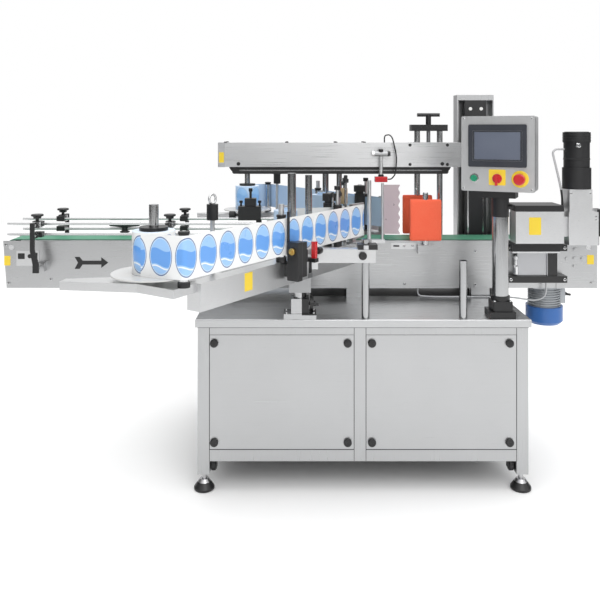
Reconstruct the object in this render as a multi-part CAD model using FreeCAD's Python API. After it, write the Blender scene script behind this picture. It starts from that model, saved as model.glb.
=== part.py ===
# Labeling machine: cabinet on levelling feet, belt conveyor, a front and a rear
# label head, a hold-down belt above the product, an operator panel and a wrap
# station. Millimetres, +Z up, +X is the way the belt runs, -Y is the front.
# The origin is on the floor below the middle of the conveyor.
import FreeCAD, Part
import math
import os

V = FreeCAD.Vector

# Fits shared by the whole machine
seat_gap = 0.3
running_fit = 0.05
clearance = 2.0

# Table and cabinet frame
table_left = -354.0
table_right = 780.0
table_depth = 800.0
table_top = 582.0
table_thick = 26.0
frame_inset = 8.0
tube = 40.0
top_rail_height = 28.0
mid_post_shift = -10.0
leg_bottom = 57.0
low_rail_bottom = 102.0
panel_gap = seat_gap
panel_depth = 20.0
panel_wall = 2.0
foot_pad_radius = 34.5
foot_neck_radius = 15.0
foot_cone_height = 37.0
foot_pad_edge = 9.0
foot_stem_radius = 8.0

# Conveyor
conveyor_length = 2270.0
conveyor_width = 160.0
side_height = 180.0
side_wall = 3.0
side_flange = 22.0
end_slant = 13.0
belt_top = 800.0
belt_wide = 118.0
belt_thick = 2.0
side_drop = 3.0
roller_radius = 25.0
roller_shaft_radius = 10.0
roller_end_gap = 6.0
roller_inset = 32.0
bed_thick = 3.0
spacer_radius = 8.0
spacer_inset = 63.0
end_plate_length = 156.0
end_plate_wall = 4.0
bolt_radius = 7.0
bolt_height = 5.0

# Conveyor drive
motor_x = conveyor_length / 2 - 174.0
motor_radius = 62.0
fin_depth = 7.0
fin_thick = 3.0
fin_pitch = 9.0
motor_fin_bottom = 534.0
fan_cover_bottom = 466.0
fan_cover_radius = 70.0
gearbox_half = 45.0
gearbox_height = 90.0

# Product guide rails
guide_rod_radius = 5.0
guide_low_z = 822.0
guide_high_z = 862.0
guide_offset = 75.0
guide_start = -conveyor_length / 2 + 15.0
guide_end = 60.0
guide_travel = 40.0
guide_slide_radius = 6.0
guide_block = 26.0
arm_wide = 30.0
arm_thick = 8.0
guide_slide_z = 700.0
guide_arm_y = 146.0
front_arm_x = (-985.0, -482.0)
rear_arm_x = (-955.0, -457.0)

# Label heads, drawn in their own frame: x along the web, the peel edge at 0
peel_x = 243.0
peel_y = -99.0
head_angle = 55.7
rear_head_shift = 144.0
web_bottom = 822.0
web_height = 118.0
web_thick = 0.8
peel_radius = 2.5
beam_top = 800.0
beam_bottom = 722.0
beam_near = 60.0
beam_far = 905.0
beam_t0 = 6.0
beam_wide = 50.0
beam_wall = 4.0
arm_plate_thick = 24.0
reel_x = -940.0
reel_t = 150.0
reel_disc_radius = 118.0
reel_disc_thick = 4.0
reel_axle_radius = 10.0
core_radius = 37.7
roll_radius = 60.0
hub_disc_radius = 40.0
hub_disc_thick = 10.0
reel_top_radius = 13.5
reel_top_height = 62.0
idler_radius = 14.0
idler_pin_radius = 5.0
idler_rim = 3.0
idler_x = -961.0
guide_roller_x = -518.0
guide_roller_push = 1.5
traction_x = -150.0
traction_t = 62.0
traction_radius = 22.0
traction_rim = 1.0
nip_radius = 17.0
nip_pin_radius = 6.0
rewind_x = -330.0
rewind_t = 130.0
rewind_radius = 42.0
rewind_core_radius = 18.0
cap_radius = 11.0
cap_height = 14.0
tall_post_x = -430.0
tall_post_t = 34.0
tall_post_top = 1078.0
short_post_x = -320.0
short_post_t = 40.0
short_post_top = 1066.0
head_travel_down = 15.0
head_travel_up = 30.0

# Head columns on the table
column_x = 0.0
column_y = -362.0
column_base_long = 110.0
column_base_wide = 70.0
column_base_thick = 18.0
column_rod_radius = 22.0
column_rod_top = 760.0
slide_block_long = 74.0
slide_block_wide = 58.0
slide_block_bottom = 671.0
wheel_radius = 26.0
wheel_thick = 12.0
wheel_z = 628.0
post_x = 223.0
post_y = -375.0
post_radius = 13.5
post_top = 850.0
spare_post_x = 555.0
spare_post_top = 777.0
cross_beam_bottom = 772.0
cross_beam_top = 818.0
cross_beam_wide = 34.0
cross_beam_end = 256.0

# Hold-down beam, its lift and its belt
beam_left = -316.0
beam_right = 628.0
hold_beam_bottom = 1078.0
hold_beam_height = 94.0
hold_beam_wide = 100.0
hold_wall = 4.0
hold_belt_bottom = 1050.0
hold_pulley_radius = 36.0
hold_belt_thick = 4.0
hold_belt_wide = 60.0
hold_pulley_inset = 78.0
hold_axle_radius = 7.0
rail_bar_height = 12.0
lift_rod_x = (483.0, 576.0)
lift_rod_y = 130.0
lift_rod_radius = 12.0
lift_foot_bottom = 690.0
lift_foot_top = 750.0
lift_plate_bottom = 1217.0
lift_plate_thick = 26.0
lift_plate_side = 28.0
lift_screw_radius = 8.0
lift_bracket_high = 50.0
handle_stem_radius = 11.0
handle_stem_high = 42.0
handle_bar_radius = 7.5
handle_bar_half = 46.0
lift_travel_down = 60.0
lift_travel_up = 30.0
column_left = 644.0
column_wide = 150.0
column_front = 112.0
column_deep = 70.0
column_top = 1365.0
column_wall = 5.0
slide_wide = 88.0
slide_deep = 20.0
sensor_x = 311.0
sensor_rod_radius = 7.0
sensor_top = 1130.0
sensor_bottom = 1022.0

# Foam pads that swing on upright pins
pad_x = 477.5
pad_long = 120.0
pad_thick = 26.0
pad_bottom = 800.0
pad_high = 157.0
pad_face = 79.0
pad_pin_radius = 10.0
pad_collar_wall = 1.5
pad_pin_over = 26.0
pad_pin_foot = 752.0
pad_lug_high = 32.0
pad_swing = 8.0

# Operator panel on its post
hmi_x = 688.0
hmi_y = -352.0
hmi_turn = -25.0
hmi_wide = 240.0
hmi_high = 254.0
hmi_deep = 105.0
hmi_bottom = 1014.0
hmi_corner = 6.0
hmi_wall = 3.0
contact_depth = 28.0
contact_radius = 19.0
hmi_front_offset = 62.0
hmi_post_radius = 27.5
hmi_post_top = 924.0
hmi_base_side = 86.0
hmi_base_thick = 22.0
hmi_block_side = 66.0
hmi_block_high = 34.0
hmi_collar_radius = 32.0
hmi_collar_high = 16.0
hmi_spigot_radius = 20.0
hmi_plate_long = 110.0
hmi_plate_thick = 24.0
bezel_wide = 190.0
bezel_high = 142.0
bezel_thick = 5.0
bezel_drop = 29.0
screen_wide = 150.0
screen_high = 92.0
screen_sunk = 1.5
button_row = 44.0
start_offset = -76.0
rotary_offset = 0.0
stop_offset = 74.0
start_radius = 11.0
start_height = 9.0
start_stroke = 4.0
start_ring = 15.0
rotary_radius = 13.0
rotary_height = 22.0
stop_radius = 19.0
stop_height = 26.0
stop_stroke = 5.0
stop_ring_radius = 27.0
plate_side = 54.0

# Wrap station on the front of the conveyor
wrap_left = conveyor_length / 2 - 347.0
wrap_box_long = 176.0
wrap_box_deep = 70.0
wrap_box_bottom = 800.0
wrap_box_high = 123.0
wrap_box_back = -132.0
wrap_top_thick = 22.0
wrap_pulley_radius = 20.0
wrap_pulley_y = -98.0
wrap_belt_thick = 5.0
wrap_belt_high = 96.0
wrap_pulley_x = (wrap_left + 34.0, wrap_left + 146.0)
wrap_drive_x = wrap_left + 194.0
wrap_drive_long = 110.0
wrap_motor_x = wrap_left + 238.0
wrap_motor_radius = 46.0
wrap_gear_side = 84.0
wrap_gear_top = 1004.0
wrap_lower_top = 1082.0
wrap_body_top = 1175.0
wrap_cap_top = 1213.0
wrap_bar_long = 222.0
wrap_bar_high = 25.0
wrap_bar_deep = 38.0
wrap_bar_gap = 10.0
wrap_bar_out = 60.0
wrap_bar_zs = (647.0, 766.0)
wrap_slide_gap = 0.0
wrap_travel = 30.0

# Leads
lead_radius = 4.0
thin_lead_radius = 3.0
sensor_lead_radius = 2.5
lead_share = 0.45
wrap_lead_top = 1150.0


# Small helpers for plain solids
def block(x0, x1, y0, y1, z0, z1):
    return Part.makeBox(x1 - x0, y1 - y0, z1 - z0, V(x0, y0, z0))


def rod(x, y, z0, z1, radius):
    return Part.makeCylinder(radius, z1 - z0, V(x, y, z0), V(0, 0, 1))


def rod_x(x0, x1, y, z, radius):
    return Part.makeCylinder(radius, x1 - x0, V(x0, y, z), V(1, 0, 0))


def rod_y(x, y0, y1, z, radius):
    return Part.makeCylinder(radius, y1 - y0, V(x, y0, z), V(0, 1, 0))


def cone(x, y, z0, z1, radius_low, radius_high):
    return Part.makeCone(radius_low, radius_high, z1 - z0, V(x, y, z0), V(0, 0, 1))


def plate(points, z0, z1):
    corners = [V(x, y, z0) for x, y in points]
    wire = Part.makePolygon(corners + [corners[0]])
    return Part.Face(wire).extrude(V(0, 0, z1 - z0))


def upright_plate(points, y0, y1):
    corners = [V(x, y0, z) for x, z in points]
    wire = Part.makePolygon(corners + [corners[0]])
    return Part.Face(wire).extrude(V(0, y1 - y0, 0))


def turned(profile, x, y):
    corners = [V(r, 0, z) for r, z in profile]
    wire = Part.makePolygon(corners + [corners[0]])
    solid = Part.Face(wire).revolve(V(0, 0, 0), V(0, 0, 1), 360)
    solid.translate(V(x, y, 0))
    return solid


def joined(shapes):
    whole = shapes[0]
    if len(shapes) > 1:
        whole = shapes[0].fuse(shapes[1:])
    return whole.removeSplitter()


def bored(shape, holes):
    for hole in holes:
        shape = shape.cut(hole)
    return shape


def grouped(shapes):
    return Part.makeCompound(shapes)


def save(name, shape):
    shape.exportStep(os.path.join("parts", name + ".step"))
    box = shape.BoundBox
    print(name, len(shape.Solids), shape.isValid(), round(shape.Volume),
          [round(v, 1) for v in (box.XMin, box.XMax, box.YMin, box.YMax, box.ZMin, box.ZMax)])


# A thin strip that runs round circles, each (x, y, radius, turn), turn +1 left
def strip(circles, thick, z0, z1):
    pieces = []
    runs = []
    for one, two in zip(circles[:-1], circles[1:]):
        dx = two[0] - one[0]
        dy = two[1] - one[1]
        bend = (two[3] * two[2] - one[3] * one[2]) / math.hypot(dx, dy)
        angle = math.atan2(dy, dx) - math.asin(bend)
        normal = (-math.sin(angle), math.cos(angle))
        start = (one[0] - one[3] * one[2] * normal[0], one[1] - one[3] * one[2] * normal[1])
        stop = (two[0] - two[3] * two[2] * normal[0], two[1] - two[3] * two[2] * normal[1])
        runs.append((angle, start, stop))
        half = (normal[0] * thick / 2, normal[1] * thick / 2)
        pieces.append(plate([(start[0] - half[0], start[1] - half[1]),
                             (stop[0] - half[0], stop[1] - half[1]),
                             (stop[0] + half[0], stop[1] + half[1]),
                             (start[0] + half[0], start[1] + half[1])], z0, z1))
    for index, circle in enumerate(circles[1:-1]):
        before = runs[index][0]
        after = runs[index + 1][0]
        sweep = (after - before) * circle[3]
        sweep = math.degrees(sweep) % 360
        if sweep < 0.05 or sweep > 359.9:
            continue
        first = math.degrees(before) - circle[3] * 90
        if circle[3] < 0:
            first = math.degrees(after) + 90
        outer = Part.makeCylinder(circle[2] + thick / 2, z1 - z0, V(circle[0], circle[1], z0),
                                  V(0, 0, 1), sweep)
        inner = rod(circle[0], circle[1], z0, z1, circle[2] - thick / 2)
        outer.rotate(V(circle[0], circle[1], 0), V(0, 0, 1), first)
        pieces.append(outer.cut(inner))
    return joined(pieces)


# A closed belt round two equal pulleys on a line, drawn flat and then placed
def loop_xz(x0, x1, z, radius, thick, y0, y1):
    outer = joined([block(x0, x1, y0, y1, z - radius - thick, z + radius + thick),
                    rod_y(x0, y0, y1, z, radius + thick), rod_y(x1, y0, y1, z, radius + thick)])
    inner = joined([block(x0, x1, y0, y1, z - radius, z + radius),
                    rod_y(x0, y0, y1, z, radius), rod_y(x1, y0, y1, z, radius)])
    return outer.cut(inner)


def loop_xy(x0, x1, y, radius, thick, z0, z1):
    outer = joined([block(x0, x1, y - radius - thick, y + radius + thick, z0, z1),
                    rod(x0, y, z0, z1, radius + thick), rod(x1, y, z0, z1, radius + thick)])
    inner = joined([block(x0, x1, y - radius, y + radius, z0, z1),
                    rod(x0, y, z0, z1, radius), rod(x1, y, z0, z1, radius)])
    return outer.cut(inner)


# Cabinet: square tube frame, table top, cover panels and levelling feet
leg_x = (table_left + frame_inset, table_right - frame_inset - tube)
leg_y = (-table_depth / 2 + frame_inset, table_depth / 2 - frame_inset - tube)
mid_x = (table_left + table_right) / 2 + mid_post_shift - tube / 2
frame_top = table_top - table_thick
low_rail_top = low_rail_bottom + tube
top_rail_bottom = frame_top - top_rail_height


def make_frame():
    pieces = []
    for x in leg_x:
        for y in leg_y:
            leg = block(x, x + tube, y, y + tube, leg_bottom, frame_top)
            bore = rod(x + tube / 2, y + tube / 2, leg_bottom, leg_bottom + 20, foot_stem_radius + running_fit)
            pieces.append(leg.cut(bore))
    for y in leg_y:
        pieces.append(block(leg_x[0] + tube, leg_x[1], y, y + tube, low_rail_bottom, low_rail_top))
        pieces.append(block(leg_x[0] + tube, leg_x[1], y, y + tube, top_rail_bottom, frame_top))
    pieces.append(block(mid_x, mid_x + tube, leg_y[0], leg_y[0] + tube, low_rail_top, top_rail_bottom))
    for x in leg_x:
        pieces.append(block(x, x + tube, leg_y[0] + tube, leg_y[1], low_rail_bottom, low_rail_top))
    return grouped(pieces)


def make_feet():
    feet = []
    for x in leg_x:
        for y in leg_y:
            profile = [(0, 0), (foot_pad_radius - 3, 0), (foot_pad_radius, 3),
                       (foot_pad_radius, foot_pad_edge), (foot_neck_radius, foot_cone_height),
                       (foot_stem_radius, foot_cone_height), (foot_stem_radius, leg_bottom + 19), (0, leg_bottom + 19)]
            feet.append(turned(profile, x + tube / 2, y + tube / 2))
    return grouped(feet)


def make_tabletop():
    top = block(table_left, table_right, -table_depth / 2, table_depth / 2, frame_top, table_top)
    edges = [e for e in top.Edges if abs(e.CenterOfMass.z - table_top) < 0.01]
    return top.makeFillet(3.0, edges)


# A cover is a folded tray, its open side inwards
def front_tray(x0, x1, face, inward):
    z0 = low_rail_top + panel_gap
    z1 = top_rail_bottom - panel_gap
    y0, y1 = sorted((face, face + inward * panel_depth))
    tray = block(x0 + panel_gap, x1 - panel_gap, y0, y1, z0, z1)
    s0, s1 = sorted((face + inward * panel_wall, face + inward * (panel_depth + 1)))
    hollow = block(x0 + panel_gap + panel_wall, x1 - panel_gap - panel_wall, s0, s1, z0 + panel_wall, z1 - panel_wall)
    return tray.cut(hollow)


def side_tray(x_face, inward):
    z0 = low_rail_top + panel_gap
    z1 = frame_top - panel_gap
    y0 = leg_y[0] + tube + panel_gap
    y1 = leg_y[1] - panel_gap
    x0, x1 = sorted((x_face, x_face + inward * panel_depth))
    tray = block(x0, x1, y0, y1, z0, z1)
    s0, s1 = sorted((x_face + inward * panel_wall, x_face + inward * (panel_depth + 1)))
    hollow = block(s0, s1, y0 + panel_wall, y1 - panel_wall, z0 + panel_wall, z1 - panel_wall)
    return tray.cut(hollow)


def make_cabinet():
    save("frame", make_frame())
    save("feet", make_feet())
    save("tabletop", make_tabletop())
    front = leg_y[0]
    back = leg_y[1] + tube
    save("panel_front_left", front_tray(leg_x[0] + tube, mid_x, front, 1))
    save("panel_front_right", front_tray(mid_x + tube, leg_x[1], front, 1))
    save("panel_back", front_tray(leg_x[0] + tube, leg_x[1], back, -1))
    save("panel_left", side_tray(leg_x[0], 1))
    save("panel_right", side_tray(leg_x[1] + tube, -1))


# Conveyor: two folded sides on brackets, a bed, two rollers and the belt
side_top = belt_top - side_drop
side_bottom = side_top - side_height
roller_z = belt_top - belt_thick - roller_radius - seat_gap
roller_x = (-conveyor_length / 2 + roller_inset, conveyor_length / 2 - roller_inset)
half = conveyor_width / 2


def conveyor_side(sign):
    left = -conveyor_length / 2
    right = conveyor_length / 2
    outline = [(left, side_top), (left + end_slant, side_bottom), (right, side_bottom), (right, side_top)]
    y0, y1 = sorted((sign * half, sign * (half - side_wall)))
    web = upright_plate(outline, y0, y1)
    f0, f1 = sorted((sign * half, sign * (half - side_flange)))
    flange = block(left + end_slant, right, f0, f1, side_bottom, side_bottom + side_wall)
    side = joined([web, flange])
    holes = [rod_y(x, -half - 1, half + 1, roller_z, roller_shaft_radius + running_fit) for x in roller_x]
    arms = front_arm_x if sign < 0 else rear_arm_x
    holes += [rod_y(x, -half - 1, half + 1, guide_slide_z, guide_slide_radius + running_fit) for x in arms]
    side = bored(side, holes)
    pieces = [side]
    g0, g1 = sorted((sign * half, sign * (half + guide_block)))
    for x in arms:
        lug = block(x - arm_wide / 2, x + arm_wide / 2, g0, g1, guide_slide_z - 16, guide_slide_z + 16)
        pieces.append(lug.cut(rod_y(x, -half - 90, half + 90, guide_slide_z, guide_slide_radius + running_fit)))
    p0, p1 = sorted((sign * half, sign * (pad_face + pad_thick)))
    lug = block(pad_x - 30, pad_x + 30, p0, p1, pad_pin_foot, pad_pin_foot + pad_lug_high)
    pieces.append(lug.cut(rod(pad_x, sign * (pad_face + pad_thick / 2), pad_pin_foot, pad_bottom, pad_pin_radius + running_fit)))
    b0, b1 = sorted((sign * half, sign * (half - side_flange - 14)))
    for x in (table_left + 60, (table_left + table_right) / 2, table_right - 90):
        pieces.append(block(x - 35, x + 35, b0, b1, table_top, side_bottom))
    return pieces


def make_end_plate():
    x1 = conveyor_length / 2
    x0 = x1 - end_plate_length
    face = block(x0, x1, -half - end_plate_wall, -half, side_bottom, side_top)
    face = face.cut(rod_y(roller_x[1], -half - 9, -half, roller_z, roller_shaft_radius + running_fit))
    spots = [(x0 + 40, roller_z - 43), (x0 + 70, roller_z - 43), (x0 + 100, roller_z - 43),
             (x0 + 70, roller_z - 72), (x0 + 72, roller_z - 8), (x1 - 16, side_bottom + 20)]
    bolts = [rod_y(x, -half - end_plate_wall - bolt_height, -half - end_plate_wall, z, bolt_radius) for x, z in spots]
    return joined([face] + bolts)


def make_bed():
    z1 = belt_top - belt_thick - seat_gap
    bed = block(roller_x[0] + roller_radius + 8, roller_x[1] - roller_radius - 8,
                -half + side_wall, half - side_wall, z1 - bed_thick, z1)
    pieces = [bed]
    z = roller_z - roller_radius - belt_thick - spacer_radius - 6
    count = 5
    for index in range(count):
        x = roller_x[0] + spacer_inset + (roller_x[1] - roller_x[0] - 2 * spacer_inset) * index / (count - 1)
        pieces.append(rod_y(x, -half + side_wall, half - side_wall, z, spacer_radius))
        pieces.append(block(x - 15, x + 15, -half + side_wall, -half + side_wall + 6, z + spacer_radius - 1, z1 - bed_thick))
        pieces.append(block(x - 15, x + 15, half - side_wall - 6, half - side_wall, z + spacer_radius - 1, z1 - bed_thick))
    return joined(pieces)


def roller(x):
    length = half - side_wall - roller_end_gap
    drum = rod_y(x, -length, length, roller_z, roller_radius)
    shaft = rod_y(x, -half - 2, half + 2, roller_z, roller_shaft_radius)
    return joined([drum, shaft])


def make_motor():
    top = side_bottom
    pieces = [block(motor_x - gearbox_half, motor_x + gearbox_half, -gearbox_half, gearbox_half, top, top + gearbox_height)]
    pieces.append(block(motor_x - 60, motor_x + 60, -half + side_flange, half - side_flange, top - 10, top))
    pieces.append(rod(motor_x, 0, fan_cover_bottom + 4, top - 10, motor_radius - fin_depth))
    z = motor_fin_bottom
    while z + fin_thick < top - 12:
        pieces.append(rod(motor_x, 0, z, z + fin_thick, motor_radius))
        z += fin_pitch
    pieces.append(cone(motor_x, 0, fan_cover_bottom, fan_cover_bottom + 12, fan_cover_radius - 12, fan_cover_radius))
    pieces.append(rod(motor_x, 0, fan_cover_bottom + 12, motor_fin_bottom, fan_cover_radius))
    pieces.append(block(motor_x + motor_radius - 15, motor_x + motor_radius + 12, -26, 26, motor_fin_bottom + 12, top - 16))
    pieces.append(block(motor_x - 60, motor_x + 60, -half + side_wall, half - side_wall, top + side_wall, top + side_wall + 6))
    return joined(pieces)


def make_conveyor():
    front = conveyor_side(-1)
    front.append(make_end_plate())
    save("conveyor_side_front", grouped(front))
    save("conveyor_side_rear", grouped(conveyor_side(1)))
    save("conveyor_bed", make_bed())
    save("conveyor_belt", loop_xz(roller_x[0], roller_x[1], roller_z, roller_radius + seat_gap,
                                  belt_thick, -belt_wide / 2, belt_wide / 2))
    save("tail_roller", roller(roller_x[0]))
    save("drive_roller", roller(roller_x[1]))
    save("drive_motor", make_motor())
    save("machine_leads", make_leads())


# Product guides: two rods on arms that slide in and out through the sides
def make_guide(sign, arms):
    pieces = []
    y = sign * guide_offset
    for z in (guide_low_z, guide_high_z):
        pieces.append(rod_x(guide_start, guide_end, y, z, guide_rod_radius))
    for x in arms:
        a0, a1 = sorted((sign * guide_arm_y, sign * (guide_arm_y + arm_thick)))
        outline = [(x - 10, guide_slide_z - 12), (x + 12, guide_slide_z - 12), (x + 12, guide_slide_z + 20),
                   (x - 4, guide_slide_z + 75), (x - 4, guide_high_z + 12), (x - 20, guide_high_z + 12),
                   (x - 20, guide_slide_z + 70), (x - 10, guide_slide_z + 20)]
        pieces.append(upright_plate(outline, a0, a1))
        s0, s1 = sorted((sign * (guide_offset - 15), sign * guide_arm_y))
        pieces.append(rod_y(x, s0, s1, guide_slide_z, guide_slide_radius))
        for z in (guide_low_z, guide_high_z):
            r0, r1 = sorted((sign * (guide_offset - 2), sign * guide_arm_y))
            pieces.append(rod_y(x - 12, r0, r1, z, guide_slide_radius))
        k0, k1 = sorted((sign * (guide_offset + 10), sign * (guide_offset + 40)))
        pieces.append(block(x - 26, x + 2, k0, k1, guide_high_z - 12, guide_high_z + 14))
        knob_y = sign * (guide_offset + 25)
        pieces.append(rod(x - 12, knob_y, guide_high_z + 14, guide_high_z + 26, 6))
        pieces.append(star_knob(x - 12, knob_y, guide_high_z + 24))
    return joined(pieces)


def star_knob(x, y, z):
    knob = cone(x, y, z, z + 16, 14, 17)
    notches = []
    for index in range(5):
        angle = math.radians(72 * index)
        notches.append(rod(x + 21 * math.cos(angle), y + 21 * math.sin(angle), z - 1, z + 17, 7))
    return bored(knob, notches)


# Label head in its own frame. The web runs along x at y = 0 to the peel edge
line_radius = seat_gap + web_thick / 2
idler_t = idler_radius + line_radius
guide_roller_t = idler_t - guide_roller_push
peel_t = peel_radius + line_radius
roller_low = beam_top + seat_gap
roller_high = web_bottom + web_height + 10
rear_side = -1
front_side = 1


def web_circles():
    return [(reel_x, reel_t, roll_radius + line_radius, 1),
            (idler_x, idler_t, idler_radius + line_radius, 1),
            (guide_roller_x, guide_roller_t, idler_radius + line_radius, 1),
            (0.0, peel_t, peel_radius + line_radius, 1),
            (traction_x, traction_t, traction_radius + line_radius, -1),
            (rewind_x, rewind_t, rewind_radius + line_radius, 1)]


# The nip roller presses on the liner where it first meets the traction roller
def nip_place():
    one, two = web_circles()[3:5]
    dx = two[0] - one[0]
    dy = two[1] - one[1]
    bend = (two[3] * two[2] - one[3] * one[2]) / math.hypot(dx, dy)
    angle = math.atan2(dy, dx) - math.asin(bend)
    reach = traction_radius + nip_radius + 2 * seat_gap + web_thick
    return (traction_x - math.sin(angle) * reach, traction_t + math.cos(angle) * reach)


def head_frame(shape, side):
    shape.rotate(V(0, 0, 0), V(0, 0, 1), head_angle)
    shape.translate(V(peel_x, peel_y, 0))
    if side == rear_side:
        shape = shape.mirror(V(0, 0, 0), V(0, 1, 0))
        shape.translate(V(rear_head_shift, 0, 0))
    return shape


def table_frame(shape, side):
    if side == rear_side:
        shape = shape.mirror(V(0, 0, 0), V(0, 1, 0))
        shape.translate(V(rear_head_shift, 0, 0))
    return shape


def web_roller(x, y, radius, pin_radius, high, rim):
    profile = [(pin_radius + running_fit, roller_low), (radius + rim, roller_low), (radius + rim, web_bottom - 8),
               (radius, web_bottom - 6), (radius, high - 6), (radius + rim - 1, high - 6), (radius + rim - 1, high),
               (pin_radius + running_fit, high)]
    return turned(profile, x, y)


# The nip roller has no rims, because it runs against the traction roller
def nip_roller(x, y):
    bore = nip_pin_radius + running_fit
    return turned([(bore, roller_low), (nip_radius, roller_low), (nip_radius, roller_high), (bore, roller_high)], x, y)


def pin(x, y, radius, high, cap):
    pieces = [rod(x, y, beam_top - 2, high, radius)]
    if cap > 0:
        pieces.append(rod(x, y, high, high + cap_height, cap))
    return pieces


def head_structure(side):
    nip = nip_place()
    pieces = []
    channel = block(-beam_far, -beam_near, beam_t0, beam_t0 + beam_wide, beam_bottom, beam_top)
    inside = block(-beam_far + beam_wall, -beam_near - beam_wall, beam_t0 + beam_wall,
                   beam_t0 + beam_wide - beam_wall, beam_bottom - 1, beam_top - beam_wall)
    pieces.append(channel.cut(inside))
    arm_low = beam_top - arm_plate_thick
    pieces.append(plate([(reel_x + 40, 20), (reel_x - 60, 14), (reel_x - 63, reel_t), (reel_x - 162, reel_t + 202),
                         (reel_x - 128, reel_t + 218), (reel_x + 40, reel_t + 46)], arm_low, beam_top))
    pieces.append(plate([(-405, 20), (-92, 20), (-92, 92), (-262, 184), (-395, 184)], arm_low, beam_top))
    pieces.append(plate([(-800, 20), (-756, 20), (-756, 96), (-800, 96)], arm_low, beam_top))
    pieces += [rod(reel_x, reel_t, beam_top - 2, beam_top + 160, reel_axle_radius)]
    pieces += pin(idler_x, idler_t, idler_pin_radius, roller_high + 2, 0)
    pieces += pin(guide_roller_x, guide_roller_t, 9, roller_high + 34, 0)
    pieces += pin(traction_x, traction_t, 8, roller_high + 42, 0)
    pieces += pin(nip[0], nip[1], nip_pin_radius, roller_high + 54, cap_radius)
    pieces += pin(rewind_x, rewind_t, 8, roller_high + 6, 0)
    pieces += pin(tall_post_x, tall_post_t, 14, tall_post_top, 0)
    pieces += pin(short_post_x, short_post_t, 12, short_post_top, 0)
    post_x_local, post_y_local = -778, 75
    pieces += [rod(post_x_local, post_y_local, beam_top - 2, 957, 7), rod(post_x_local, post_y_local, 957, 1003, 17)]
    ring = Part.makeTorus(14, 3.5, V(post_x_local, post_y_local, 1018), V(0, 1, 0))
    pieces.append(ring)
    peel_plate = joined([plate([(-84, peel_t + 12), (-84, peel_t - peel_radius), (0, peel_t - peel_radius),
                                (0, peel_t + peel_radius)], web_bottom - 8, roller_high - 4),
                         rod(0, peel_t, web_bottom - 8, roller_high - 4, peel_radius)])
    pieces.append(peel_plate)
    pieces.append(block(-84, -62, peel_t - peel_radius, peel_t + 12, beam_top - 10, web_bottom - 8))
    shape = head_frame(joined(pieces), side)
    slide = block(column_x - slide_block_long / 2, column_x + slide_block_long / 2,
                  column_y - slide_block_wide / 2, column_y + slide_block_wide / 2,
                  slide_block_bottom, arm_low)
    beam_y = post_y - cross_beam_wide / 2
    cross = block(column_x + slide_block_long / 2 - 12, cross_beam_end, beam_y, beam_y + cross_beam_wide,
                  cross_beam_bottom, cross_beam_top)
    tongue = block(column_x - 20, column_x + slide_block_long / 2 + 24, column_y - 29, column_y + 40, arm_low - 26, beam_top - 3)
    clamp = rod(post_x, post_y, cross_beam_top, cross_beam_top + 14, post_radius + 11)
    extras = [slide, cross, tongue, clamp]
    if side == front_side:
        extras += wiper_bracket()
    extras = table_frame(joined_parts(extras), side)
    whole = shape.fuse(extras).removeSplitter()
    holes = [rod(column_x, column_y, slide_block_bottom - 5, column_rod_top + head_travel_down + 3, column_rod_radius + running_fit),
             rod(post_x, post_y, cross_beam_bottom - 5, cross_beam_top + 40, post_radius + running_fit)]
    return bored(whole, [table_frame(hole, side) for hole in holes])


def joined_parts(shapes):
    whole = shapes[0]
    for shape in shapes[1:]:
        whole = whole.fuse(shape)
    return whole


wiper_y = -108.0
wiper_rod_x = (262.0, 312.0)
wiper_rod_radius = (7.5, 5.0)
wiper_rod_top = (1030.0, 1020.0)
wiper_length = 61.0
wiper_low = 828.0
wiper_high = 1014.0


def wiper_bracket():
    bar = plate([(168, -168), (206, -196), (270, wiper_y - 12), (wiper_rod_x[1] + 8, wiper_y - 10),
                 (wiper_rod_x[1] + 8, wiper_y + 8), (255, wiper_y + 8)], beam_top - 6, beam_top + 8)
    rods = [rod(x, wiper_y, beam_top, top, r) for x, r, top in zip(wiper_rod_x, wiper_rod_radius, wiper_rod_top)]
    return [bar] + rods


def make_web(side):
    pieces = [head_frame(strip(web_circles(), web_thick, web_bottom, web_bottom + web_height), side)]
    if side == front_side:
        x0 = wiper_rod_x[1] + wiper_rod_radius[1] + seat_gap
        flap = block(x0, x0 + wiper_length, wiper_y - 0.6, wiper_y + 0.6, wiper_low, wiper_high)
        bites = [rod_y(x0 + wiper_length + 4, wiper_y - 2, wiper_y + 2, wiper_low + 16 + 31 * n, 11) for n in range(6)]
        pieces.append(bored(flap, bites))
    return grouped(pieces)


def make_reel():
    z0 = beam_top + seat_gap
    disc_top = web_bottom - seat_gap
    top = web_bottom + web_height
    bore = reel_axle_radius + running_fit
    profile = [(bore, z0), (24, z0), (24, disc_top - reel_disc_thick), (reel_disc_radius, disc_top - reel_disc_thick),
               (reel_disc_radius, disc_top), (core_radius, disc_top), (core_radius, top + seat_gap),
               (hub_disc_radius, top + seat_gap), (hub_disc_radius, top + hub_disc_thick),
               (reel_top_radius, top + hub_disc_thick), (reel_top_radius, top + hub_disc_thick + reel_top_height),
               (0, top + hub_disc_thick + reel_top_height), (0, beam_top + 162), (bore, beam_top + 162)]
    return turned(profile, reel_x, reel_t)


def make_roll():
    ring = rod(reel_x, reel_t, web_bottom, web_bottom + web_height, roll_radius)
    return ring.cut(rod(reel_x, reel_t, web_bottom - 1, web_bottom + web_height + 1, core_radius + seat_gap))


def make_rewind():
    z0 = beam_top + seat_gap
    top = web_bottom + web_height
    bore = 8 + running_fit
    profile = [(bore, z0), (rewind_core_radius, z0), (rewind_core_radius, web_bottom - 6), (58, web_bottom - 6),
               (58, web_bottom - 3), (rewind_radius, web_bottom - 3), (rewind_radius, top),
               (rewind_core_radius, top), (rewind_core_radius, roller_high), (bore, roller_high)]
    return turned(profile, rewind_x, rewind_t)


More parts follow.
